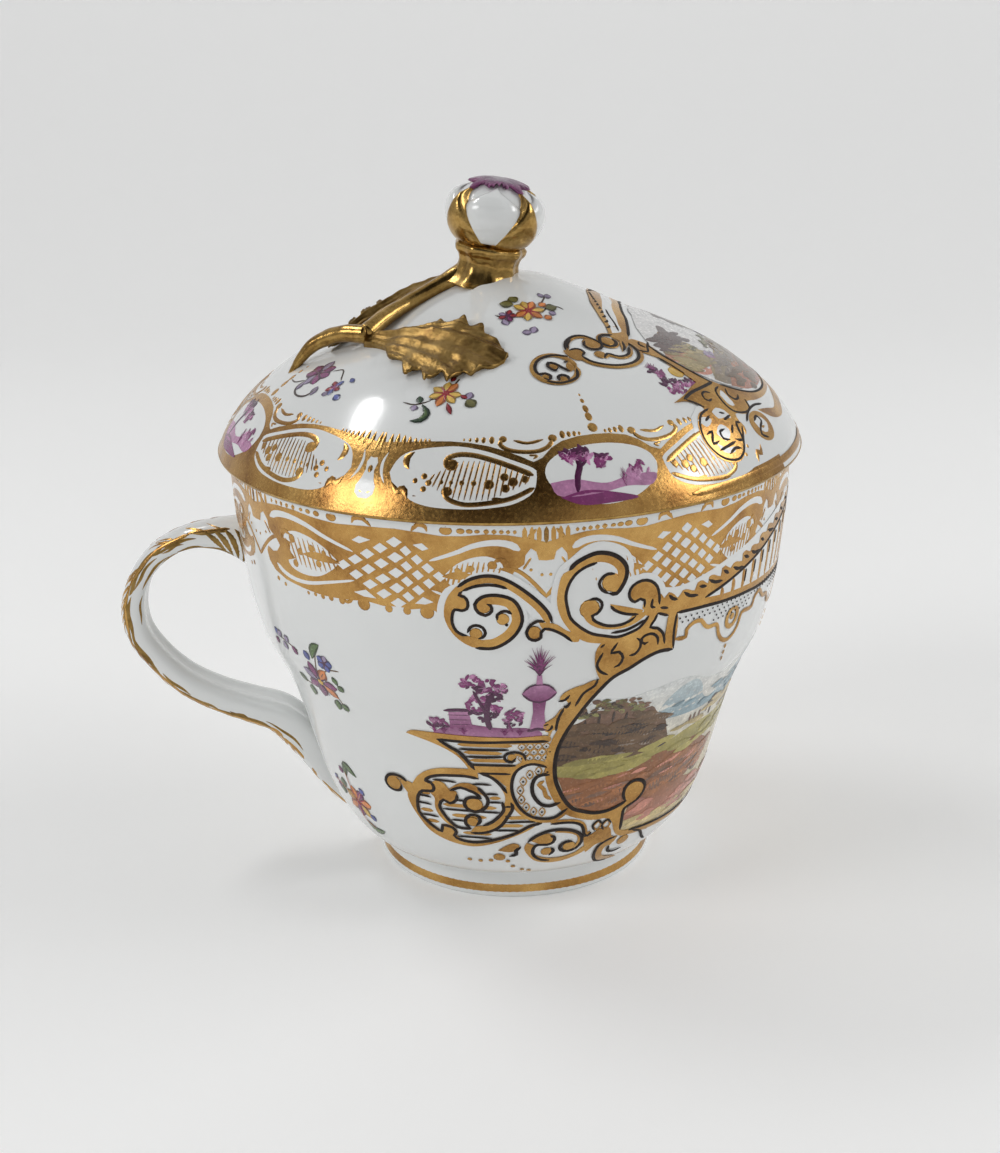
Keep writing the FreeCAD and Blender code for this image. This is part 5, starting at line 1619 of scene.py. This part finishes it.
lid_drawing = Paint("lid_border_drawing", LID, GOLD, "gilding", 0.07, 0.04)
lid_drawing.turns = LID_TURNS
lid_drawing.stroke((15,37.3, 15.1,36.4, 17,35.95, 20,35.95, 23.6,36.4, 27.6,37.1, 31.6,37.9), 0.75,
    step=0.6)
lid_drawing.stroke((15.2,38.9, 15.8,39.6, 18.6,40, 22.6,39.95, 27.6,39.6, 31.6,38.9), 0.62, step=0.6)
lid_drawing.spot(16.1, 37, 0.85, tall=0.95)
lid_drawing.spot(15.8, 39.2, 0.72, tall=0.9)
for k in range(18):
    x = 12.2 + 1.05 * k
    share = min(1, (k + 1.5) / 6, (18.5 - k) / 7)
    lid_drawing.stroke((x - 0.5 * share, 38.3 + 1.45 * share, x + 0.9, 38.3 - 1.75 * share), 0.24, step=1)
for x, size in ((9.6, 0.34), (14.6, 0.27), (16.4, 0.27), (18.4, 0.33), (20.6, 0.36)):
    lid_drawing.spot(x, 38.5, size, tall=1.1)
lid_drawing.spots(((11.2, 38.1, 0.42), (12.2, 38.6, 0.42), (11.4, 39.1, 0.4), (23.4, 38.6, 0.66), (26.2, 38,
    0.55), (26.4, 38.9, 0.55), (27.8, 38.4, 0.62), (30, 38.2, 0.5)))
lid_drawing.stroke((8.2,35.9, 7,36.5, 7.2,37.2, 7.9,37.6), 0.95, DAB_LOOK)
lid_drawing.stroke((5.2,38.8, 6.4,39.4, 7.6,39.2, 8.6,39.9), 1, DAB_LOOK)
lid_drawing.spot(0, 37.9, 0.34, tall=1.5)
lid_drawing.stroke((31,36, 32.6,36.1, 31.8,36.4), 0.3)
lid_drawing.finish()


def ring(x, v, wide, tall, count=20):
    """Chart points round an oval of half-width wide degrees and half-height tall mm."""
    flat = []
    for k in range(count):
        a = 2 * math.pi * k / count
        flat += [x + wide * math.cos(a), v + tall * math.sin(a)]
    return flat


medallion_fields = Paint("lid_medallion_fields", LID, GLAZE, "cover_glaze", 0.05, 0.02)
medallion_drops = Paint("lid_medallion_drops", LID, GOLD, "gilding", 0, 0.06)
medallion_views = Paint("lid_medallion_views", LID, WASH, "enamel", 0.07, 0.02)
for paint in (medallion_fields, medallion_drops, medallion_views):
    paint.turns = [border_turn(middle, 1, 1, 1) for middle in MEDALLIONS]
medallion_fields.fill(ring(0, 37.75, 11.2, 2.55), spacing=1.1)
medallion_fields.finish()
for r, size, tall in ((28.6, 0.13, 2), (29.6, 0.27, 1.5), (30.8, 0.38, 1.7), (31.9, 0.46, 1.6), (33.3, 0.66,
        1.1)):
    medallion_drops.spot(0.4, r, size, tall=tall)
medallion_drops.finish()

# In each medallion: purple banks, a leaning tree and a far bush.
random.seed(31)
medallion_views.fill((-10.4,38.6, -6,38.4, 0,38.9, 5,38.5, 10.4,38.7, 9,39.4, 4,39.3, -2,39.6, -9.4,39.5),
    PALE_PLUM, spacing=1.1)
medallion_views.fill((-8.8,39.7, -4,39.3, 1,39.6, 5.5,40.1, 0,40.25, -5.4,40.2), PLUM)
medallion_views.stroke((-5.6,39.4, -5.2,38.2, -4.4,37.2, -4.8,36.4), 0.8, LINE_LOOK, DEEP_PLUM)
medallion_views.stroke((-4.8,37.6, -2.8,36.8), 0.4, LINE_LOOK, DEEP_PLUM)
bush(medallion_views, -4.6, 36.2, 2, 0.8, PLUMS, 44)
bush(medallion_views, 0.2, 36.9, 1.2, 0.55, PLUMS, 20)
bush(medallion_views, 6.6, 38.2, 1.5, 0.75, (PLUM, PALE_PLUM, PALE_PLUM), 22)
plume(medallion_views, 3.6, 39.3, -1.5, 0.6, 7, PLUM, 0.2)
medallion_views.finish()

# The cartouche on the lid, again drawn on the left and mirrored.
scroll_margin, scroll_gold, scroll_line = scroll_paints("lid", LID, "cover_glaze")
scroll_margin.fill((0.2,33.6, -24,33.6, -30,32.6, -44,33.2, -47.6,34.2, -49.6,36.2, -49.4,38.8, -46.6,40.1,
    -30,40.1, -15,40.1, 0.2,40.1), smooth=False, spacing=1.4)
scroll_gold.stroke((-56,40.5, -30,40.5, -12,40.5, 0.2,40.5), 0.95, step=1.2)

# Oval C and the two joined scrolls beside the strap
scroll_gold.stroke((*ring(-75.7, 23.6, 7, 2.75, 18), -68.7, 23.6), 0.85)
lines((-69.3,21.5, -75,20.95, -80,21.7, -82,23.2, -81.3,24.5, -79.3,24.4, -77.9,25, -78.9,25.7, -80,25.3),
    (-79.6,25.9, -75.7,26.4, -70.4,25.6, -69,24), (-71.4,24.4, -73.6,23.4, -75,22.7, -77.1,22.4, -77.7,23.2,
    -75.7,24, -74.8,23.6), (-75.9,26, -75.8,25.2, -74.4,24.9, -73,25.3, -73.2,26), (-70.4,22.4, -72,22.6),
    width=0.46)
discs((-76, 23.2, 0.62), (-79.4, 25, 0.5), (-74.4, 25.6, 0.5))
scroll_gold.stroke((-70.2,22.5, -70.8,23.8, -71.8,24.4), 1.1, DAB_LOOK)
outlined((-68.6,20.1, -66.4,18.5, -61.4,17.6, -56.4,17.8, -53.6,18.8, -52.5,20, -55,20.8, -58.6,20.6,
    -60,19.6, -58.1,18.8), 1, 0.6, line=0.46)
outlined((-64.3,21.7, -62.9,22.8, -59.3,23.8, -54.3,24.5, -48.6,24.5, -44.3,23.8, -41.4,22.4, -41.1,21), 1,
    0.75, line=0.46)
outlined((-56.8,22.6, -54.3,22, -51.4,22.9, -47.1,22.9, -42.9,21.6), 1, 0.6, line=0.42)
outlined((-42.9,18.7, -47.1,18.3, -50,18.6, -52.1,19.8, -50.7,20.6, -47.9,20.8, -45.4,20.2, -45.4,19.4), 1,
    0.5, line=0.5)
lines((-67.4,20.3, -64.6,20.1, -62.7,20.5, -62.4,21.1, -64.1,21.6), (-67.4,20, -66.4,18.95, -63.6,18.2),
    (-47.3,22.1, -45.2,21.6, -42.6,20.4))
gold_fields((-69.6,20.2, -67.3,20.2, -64.4,20.2, -62.5,20.8, -64,21.6, -64.4,22.4, -66.8,22.4, -68.8,21.6),
    (-47.8,22.2, -44.6,20.6, -42,19.8, -41.2,21, -44,21.6))
discs((-56.4, 19.4, 1.2), (-57.2, 21.9, 0.85), (-48.4, 19.6, 1.05))

# Strap over the painted panel, the column at its left end and the ledge below
gold_fields((-44.3,18.6, -39.3,16.8, -35,15, -30,13.6, -25,12.5, -20,11.9, -10.7,11.3, 0.2,11.2, 0.2,15.6,
    -7.1,15.7, -14.3,16.2, -20,17, -25.7,17.8, -31.4,18.8, -36.4,19.8, -41,20.8, -43.5,20), (-41.2,20.8,
    -37,20.4, -33.8,22.4, -34.6,24, -34.4,26, -33.4,28, -32.2,30, -31,31.4, -35.6,31, -36.6,29, -37.6,27,
    -37.2,25.2, -39,24, -41.4,22.6), (-48.9,32, -44.3,31.4, -40,30.7, -35,30.3, -31.4,30.6, -28.9,31.7,
    -24.3,33.2, -19.3,34.3, -15,34.8, -8,35.2, 0.2,35.3, 0.2,36, -8,35.9, -15,35.7, -21,35.3, -25.4,34.9,
    -27,35.6, -30,35.9, -33.8,35.4, -35,37, -37.2,38, -39.4,39, -42.2,39.4, -46.4,38.8, -48.3,37.2,
    -47.4,35.4, -44.6,34, -42,33.7, -42.9,32.9, -45.2,32.2), ring(-27.5, 37.5, 4.2, 1.5, 14), (-24,36.2,
    -20,36.6, -15,37.2, -10,37, -4,36.6, 0.2,36.6, 0.2,37.4, -6,37.8, -14,38.2, -20,37.6))
# White left between the gold in the strap and in both rounds below it.
lid_gaps = both_sides(Paint("lid_scroll_windows", LID, GLAZE, "cover_glaze", 0.148, 0.014))
for outline in ((-41.5,18.4, -36.5,16.7, -31,15.2, -25,14.1, -18,13.5, -9,13.1, 0.2,13, 0.2,14.3, -9,14.4,
        -18,15, -25,16.1, -31,17.2, -36.5,18.7), (-46.4,34.7, -44.2,34.5, -42.4,35, -43.8,35.5, -45.4,35.6),
        (-40.6,34.3, -38.4,34, -36.4,34.6, -36.2,35.6, -38.4,35.3, -40.2,35.2), (-43.9,36.6, -42,35.9,
        -40.6,35.9, -39.6,36.6, -40.6,37.2, -42.6,37.5), (-46,36.9, -45,37.6, -43,38.1, -40.6,38.2,
        -42,38.6, -44.8,38.3), (-33,32.9, -31,32.4, -30.8,33.4, -31.4,34.6, -33,34.3), (-29.6,36.9,
        -27.8,36.5, -25.6,37, -25,37.6, -27.2,38.3, -29.2,37.9)):
    lid_gaps.fill(outline, spacing=1.2)
lid_gaps.finish()
for k in range(11):
    phi = -40.5 + 3.4 * k
    r = 11.2 + 6.4 * (-phi / 42) ** 2.1
    scroll_line.stroke((phi, r, phi + 1.6, r + 0.1, phi + 3.4, r - 0.15), 0.42)
lines((-36.4,19.8, -31.4,18.8, -25.7,17.8, -20,17, -14.3,16.2, -7.1,15.7, 0.2,15.6), (-45.4,31.9,
    -41.4,31.35, -37.1,31.2, -30.7,31.1), width=0.5)
lines((-37.1,18.4, -32.1,16.8, -27.9,15.4, -22.9,14.4), (-34.4,22.2, -35,24.6, -34.2,27, -32.8,29.4,
    -31,31.2), (-37.8,24.8, -37.2,26.4, -36.6,28.6), (-35.6,21.3, -37.4,21.7, -36.8,22.6), (-41.2,22.6,
    -38.6,23.4, -35.6,22.6, -32,21.9), (-45,32, -42.9,32.8, -41.6,33.5), (-39.2,32.6, -38.6,32, -36.9,31.8,
    -35.6,32.2), (-39.2,32.6, -38.4,33, -37,32.9), (-28.6,32.5, -30,33.2, -29.3,34, -27.5,34.1, -26.4,33.8),
    (-30.4,31.9, -32.9,32.2, -34.3,33.8, -33.6,35, -30,35.7, -26.8,35.6, -25.4,34.6), (-40.7,33.8,
    -44.3,34.2, -47.1,35.6, -47.9,37.2, -46.1,38.6, -42.1,39.2, -39.3,38.8, -37.1,37.8, -35,36.8),
    (-32.1,36.6, -28.6,35.8, -23.9,35.6, -20,36), (-28.9,31.8, -24.3,33.3, -19.3,34.4, -15,34.9, -8,35.3,
    0.2,35.4), width=0.36)
lines((-46.6,36.4, -44.6,36.2, -45.8,36.9, -46.4,37.4, -44.4,37.3), (-40.8,36.4, -42.6,36.5, -42.9,37.2,
    -41.2,37.5), (-39.4,37, -37.6,36.3), (-34.6,36.4, -35.8,36.2, -36.8,37, -37.6,37.9, -39.6,37.6),
    (-45.6,38.1, -42,37.9, -40,37.8), (-43.4,38.6, -41,38.3, -39.4,38.5), (-38.8,35.5, -36,35.3),
    (-38.6,34.6, -37.2,34.9), (-44.4,35, -42.2,34.6), (-29.4,36.9, -27,36.6, -26.6,37.2, -28.6,37.6,
    -30,38.2, -28.2,38.7), width=0.42)
scroll_margin.finish()
scroll_gold.finish()
scroll_line.finish()

random.seed(43)
lid_view = both_sides(Paint("lid_panel_painting", LID, WASH, "enamel", 0.108, 0.02))
PALE_SKY, DUSK, SAND = (0.7, 0.69, 0.68), (0.1, 0.065, 0.06), (0.3, 0.2, 0.1)
lid_view.fill((-33.6,22.6, -29,20.6, -24,19, -17.9,18, -9,17.2, 0.2,17, 0.2,34.9, -8,34.9, -15,34.5,
    -19.5,33.9, -24.3,32.8, -28.6,31.3, -31.6,29.4, -33.4,26.6), PALE_SKY, spacing=1.4)
lid_view.fill((-33.8,25, -30,23.6, -24,22.2, -17,21.3, -14.5,22.6, -16,24.4, -18,26.2, -19,28.4, -22,29.6,
    -27,30.2, -31.4,29.4, -33.2,27), SAND, tint_top=shaded(ROSE, 1.15), spacing=1.3)
lid_view.fill((-30,23.6, -24,22.2, -17,21.3, -10,20.6, -8,21.2, -13,22.6, -16,24.4, -22,24.8, -27,24.9),
    DUSK, spacing=1.3)
lid_view.fill((-28.2,31, -24,29.6, -20,29.2, -13,28.6, -6,28.4, 0.2,28.2, 0.2,31.6, -8,31.4, -16,31.6,
    -24.4,32.4), shaded(FIELD, 0.6), tint_top=shaded(STONE, 0.5), spacing=1.3)
lid_view.fill((-24.6,32.6, -18,31.4, -10,31, 0.2,31.2, 0.2,34.8, -8,34.8, -15,34.4, -20,33.8), RED_BROWN,
    tint_top=shaded(ROSE, 0.7), spacing=1.3)
lid_view.rise += 0.016
lid_view.crown = 0.007
ground(lid_view, anywhere, (40, -31, -16, 24.5, 29, 3, 1.2, shaded(FIELD, 0.55), 28), (34, -30, -10, 21.8,
    25.4, 3, 1.3, DUSK, 20), (30, -22, -1, 28.8, 31.4, 3.2, 1.1, shaded(STONE, 0.5), -4), (30, -20, -1,
    31.6, 34.4, 3.2, 1.1, BROWN, 8))
bush(lid_view, -16.5, 26.1, 1.1, 0.5, (OLIVE, DARK_BROWN, OLIVE), 16)
bush(lid_view, -14, 28.2, 1.3, 0.6, (GREY_VIOLET, PALE_PLUM, GREY_VIOLET), 20)
bush(lid_view, -4, 27.6, 2.2, 0.9, (OLIVE, BARK, STONE), 30)
lid_view.finish()

# Purple leaves beside the panel, and sprays of flowers over the lid.
random.seed(57)
lid_sprays = both_sides(Paint("lid_flower_sprays", LID, WASH, "enamel", 0.03, 0.02))
bush(lid_sprays, -44, 29.6, 1.9, 1.5, PLUMS, 46)
bush(lid_sprays, -44.6, 27, 1.3, 1, PLUMS, 22)
bush(lid_sprays, -38.6, 30, 1, 0.7, PLUMS, 14)
plume(lid_sprays, -44.6, 26.6, -1.6, 1.2, 7, PLUM, 0.34)
lid_sprays.rise = 0.06
lid_sprays.spot(-38.4, 27.9, 1.15, YELLOW)
lid_sprays.rise = 0
stems(lid_sprays, DARK_BROWN, 0.24, (-154.6,30.2, -158,31, -161,31), (-148.2,27.4, -145.2,26.7, -141,28.4),
    (-117,29.9, -113.6,30.1, -110,29.3), (-108,28.8, -110.6,29.2), (-105.6,26.6, -104.6,25.2), (-98,12.4,
    -94,12.7, -90,12.4), (-90,12.6, -86,12), (-68,12.2, -60,11, -54,11.6, -52.6,12.2), (-66,10.6, -60,9.6,
    -56,9))
blossom(lid_sprays, -152.6, 28.5, 2.5, 1.2, (PLUM, PLUM, GREY_VIOLET, PLUM, PLUM, GREY_VIOLET, PLUM),
    DEEP_PLUM)
dabs(lid_sprays, GREY_VIOLET, 0.8, (-153.8,30.4, -154,31.8), (-146.6,30.2, -146,31.6), (-141.8,30.4,
    -141.2,31.2), (-113.4,30.2, -113.4,31), (-100.8,28.8, -100.2,27.6), (-92.6,13.2, -90.2,14.4),
    (-83.6,15.9, -79,15.9), (-78.8,16.1, -76.4,14.9), (-62.6,8.8, -57,8.7), (-57.2,8.9, -51.4,9.4),
    (-63.8,12.3, -60.2,12.9))
stems(lid_sprays, DARK_BROWN, 0.3, (-154.2,30.2, -154.6,31.4, -152,32.2, -147.6,31.9, -146,30.6))
blossom(lid_sprays, -140.6, 29.6, 1.3, 0.5, (CRIMSON, BLUE, CRIMSON, CRIMSON, BLUE), PLUM)
dabs(lid_sprays, BLUE, 0.8, (-137.8,30.6, -135.6,31.1), (-137.6,28.2, -136.8,27.6))
blossom(lid_sprays, -106.9, 28, 2.15, 0.82, (YELLOW, YELLOW, ORANGE, YELLOW, YELLOW, YELLOW, ORANGE), CRIMSON)
dabs(lid_sprays, CRIMSON, 0.4, (-105.6,29.6, -103.8,31.2), (-102.8,28.2, -100.9,28.7), (-106.6,25.9,
    -106,24.9))
dabs(lid_sprays, OLIVE, 1.1, (-100.8,28.9, -98.6,30), (-96.4,10.1, -86,10.3), (-88.4,8.7, -83,9.8),
    (-64.4,11.4, -56,11.6))
dabs(lid_sprays, DARK_GREEN, 0.6, (-111.8,30, -109.6,31.3, -110.6,32.2, -113,32.4), (-113.4,28.8,
    -112.4,29.9))
dabs(lid_sprays, LEAF_GREEN, 0.5, (-110.6,30.6, -109.8,31.5, -111.2,32.1))
blossom(lid_sprays, -76.6, 11.7, 2.2, 0.82, (YELLOW, ORANGE, YELLOW, ORANGE, YELLOW, YELLOW, ORANGE), CRIMSON)
blossom(lid_sprays, -90.4, 12.6, 1.3, 0.5, (CRIMSON, PLUM, CRIMSON, GREY_VIOLET, CRIMSON), DEEP_PLUM)
dabs(lid_sprays, ORANGE, 0.8, (-68,11, -62,10.6), (-69,13.6, -64.4,13.2))
lid_sprays.finish()

# Worn gold and brown on the handle
HANDLE_SHEET = HandleSheet()
HANDLE_LENGTH = HANDLE_SHEET.lengths[-1]
handle_gold = Paint("handle_gold", HANDLE_SHEET, GOLD, "gilding", -0.01, 0.05)
random.seed(5)
for edge, way in ((38, 1), (142, -1)):
    at = 4.5
    while at < HANDLE_LENGTH - 6:
        length = random.uniform(3, 6.5)
        wander = random.uniform(-6, 6)
        if random.random() < 0.86:
            handle_gold.stroke((edge + wander, at, edge - way * 5 + wander, at + length / 2,
                edge + wander * 0.6, at + length), random.uniform(0.55, 1.15), LINE_LOOK)
        for k in range(random.choice((2, 3, 4))):
            start = at + length * random.uniform(0.05, 0.85)
            handle_gold.stroke((edge, start, edge + way * random.uniform(14, 24), start + 1.1,
                edge + way * random.uniform(30, 44), start + random.uniform(1.6, 2.6)), random.uniform(0.4,
                0.75), DROP_LOOK)
        at += length * 0.95
handle_gold.stroke((90, HANDLE_LENGTH - 19, 88, HANDLE_LENGTH - 13, 92, HANDLE_LENGTH - 8, 90,
    HANDLE_LENGTH - 2.5), 0.85)
handle_gold.finish()
# Brown, rubbed gold down both sides of the handle, and stripes where it springs from the cup.
handle_wash = Paint("handle_rubbed_gold", HANDLE_SHEET, LEAF_BRONZE, "gilding", -0.015, 0.045)
handle_wash.turns = [same, mirror_side]
for phi, start, length, width in ((148, 5, 4.5, 1.2), (157, 11, 5, 1.9), (150, 14, 7, 1.6), (160, 19, 3.5,
        1.2), (147, 21, 8, 1.5), (153, 29, 6, 1.1), (146, 36, 6, 0.9), (148, 44, 9, 1.4), (158, 46, 3, 0.8),
        (163, 51.5, 8, 0.5), (216, 3.5, 5.5, 1.1), (212, 8, 4.5, 1.5), (218, 12.5, 3, 0.9), (168, 9, 5.5,
        0.9), (174, 15.5, 6, 0.7), (164, 22.5, 6.5, 1), (178, 11, 3.5, 0.5), (158, 28, 6, 1.3), (161, 35, 5,
        0.8), (152, 40.5, 4, 0.9), (205, 14, 7, 1.1), (209, 22, 5, 0.7)):
    handle_wash.stroke((phi + 3, start, phi - 2, start + length / 3, phi + 3, start + length * 0.7, phi - 2,
        start + length), width, DAB_LOOK)
for k in range(5):
    start = 7.4 - 1.45 * k
    handle_wash.stroke((140, start + 0.8, 165, start - 0.4, 195, start - 2 + 0.2 * k, 225,
        start - 3.2 + 0.6 * k), 0.95, DAB_LOOK)
handle_wash.finish()
root_fan = Paint("handle_root_fan", CUP, GOLD, "gilding", 0.03, 0.05)
for k in range(7):
    share = (k - 3) / 3
    root_fan.stroke((180 + share * 5.5, 52.4 - 0.8 * abs(share), 180 + share * 7, 55.4, 180 + share * 9.5,
        58.6 - 1.6 * abs(share)), 1, DROP_LOOK)
    root_fan.stroke((180 + share * 5.8, 42.8 + 1.2 * abs(share), 180 + share * 5.6, 40.2, 180 + share * 3.4,
        37.6 + 1.2 * abs(share)), 0.9, DROP_LOOK)
root_fan.finish()

# Stage, light and camera

CAMERA_PLACE = Vector((-1.669, -260, 132.83))
CAMERA_PITCH = 19.316
CAMERA_ROLL = -0.99
CAMERA_LENS, SENSOR_HEIGHT = 58.97, 36
FLOOR_DEPTH, FLOOR_BEND, FLOOR_GLOW = 350, 250, 0.125
AIR_STRENGTH = 0.54


def backdrop():
    """A pale floor that curves up behind the object, lit a little where it is seen or mirrored."""
    bm = bmesh.new()
    line = [(-900, 0), (FLOOR_DEPTH, 0)]
    for a in range(6, 91, 6):
        across, climb = math.sin(math.radians(a)), 1 - math.cos(math.radians(a))
        line.append((FLOOR_DEPTH + FLOOR_BEND * across, FLOOR_BEND * climb))
    line.append((FLOOR_DEPTH + FLOOR_BEND, 1200))
    rows = [[bm.verts.new(Vector((x, y, z)) * MM) for x in (-1500, 1500)] for y, z in line]
    for low, high in zip(rows, rows[1:]):
        bm.faces.new((low[0], low[1], high[1], high[0]))
    material, nodes, links, shader = new_material("pale_floor")
    socket(shader, "Base Color", (0.9, 0.9, 0.895, 1))
    socket(shader, "Roughness", 0.7)
    glow = nodes.new("ShaderNodeEmission")
    socket(glow, "Color", (1, 1, 0.99, 1))
    rays = nodes.new("ShaderNodeLightPath")
    seen = None
    for ray in ("Is Camera Ray", "Is Glossy Ray", "Is Transmission Ray"):
        join = nodes.new("ShaderNodeMath")
        join.operation = "MAXIMUM"
        wire(links, rays, ray, join, 0)
        if seen:
            wire(links, seen, 0, join, 1)
        seen = join
    strength = nodes.new("ShaderNodeMath")
    strength.operation = "MULTIPLY"
    socket(strength, 1, FLOOR_GLOW)
    wire(links, seen, 0, strength, 0)
    wire(links, strength, 0, glow, "Strength")
    both = nodes.new("ShaderNodeAddShader")
    wire(links, shader, "BSDF", both, 0)
    wire(links, glow, "Emission", both, 1)
    wire(links, both, 0, nodes["Material Output"], "Surface")
    return mesh_object("pale_floor", bm, material)


backdrop()


def softbox(name, place, aim, size, power, mirrored=True):
    """A soft lamp. A fill lamp lights the glaze but isn't mirrored in it."""
    light = bpy.data.lights.new(name, "AREA")
    light.shape = "ELLIPSE"
    light.size, light.size_y = size
    light.energy = power
    lamp = bpy.data.objects.new(name, light)
    lamp.location = Vector(place) * MM
    lamp.rotation_euler = (Vector(aim) - Vector(place)).to_track_quat("-Z", "Y").to_euler()
    lamp.visible_glossy = mirrored
    bpy.context.scene.collection.objects.link(lamp)


softbox("light_left", (-520, -260, 420), (0, 0, 45), (0.32, 0.26), 1.15)
softbox("light_right", (545, 85, 452), (0, 0, 45), (0.38, 0.22), 0.95)
softbox("light_right_low", (565, -120, 385), (0, 0, 45), (0.2, 0.22), 0.5)
softbox("light_top", (-325, 170, 555), (0, 0, 40), (0.24, 0.075), 0.6)
softbox("light_fill", (-60, -640, 60), (0, 0, 20), (0.8, 0.1), 0.43, mirrored=False)

world = bpy.data.worlds.new("studio")
world.use_nodes = True
bpy.context.scene.world = world
world_nodes, world_links = world.node_tree.nodes, world.node_tree.links
air = world_nodes["Background"]
socket(air, "Strength", AIR_STRENGTH)
# The room is dark high up in front of the object, and the burnished gold shows that.
toward = world_nodes.new("ShaderNodeTexCoord")
share = world_nodes.new("ShaderNodeVectorMath")
share.operation = "DOT_PRODUCT"
socket(share, 1, Vector((-0.16, -0.55, 0.82)).normalized())
wire(world_links, toward, "Generated", share, 0)
span = world_nodes.new("ShaderNodeMapRange")
span.interpolation_type = "SMOOTHSTEP"
socket(span, "From Min", 0.72)
socket(span, "From Max", 0.91)
wire(world_links, share, "Value", span, "Value")
blend = world_nodes.new("ShaderNodeMix")
blend.data_type = "RGBA"
socket(blend, 6, (0.82, 0.83, 0.84, 1))
socket(blend, 7, (0.025, 0.022, 0.02, 1))
wire(world_links, span, "Result", blend, "Factor")
wire(world_links, blend, 2, air, "Color")

camera_data = bpy.data.cameras.new("camera")
camera_data.sensor_fit = "VERTICAL"
camera_data.sensor_height = SENSOR_HEIGHT
camera_data.lens = CAMERA_LENS
camera_data.clip_start = 0.01
camera = bpy.data.objects.new("camera", camera_data)
camera.location = CAMERA_PLACE * MM
turn = Matrix.Rotation(math.radians(90 - CAMERA_PITCH), 4, "X") @ Matrix.Rotation(math.radians(CAMERA_ROLL),
    4, "Z")
camera.rotation_euler = turn.to_euler()
bpy.context.scene.collection.objects.link(camera)
bpy.context.scene.camera = camera
bpy.context.scene.view_settings.view_transform = "Standard"
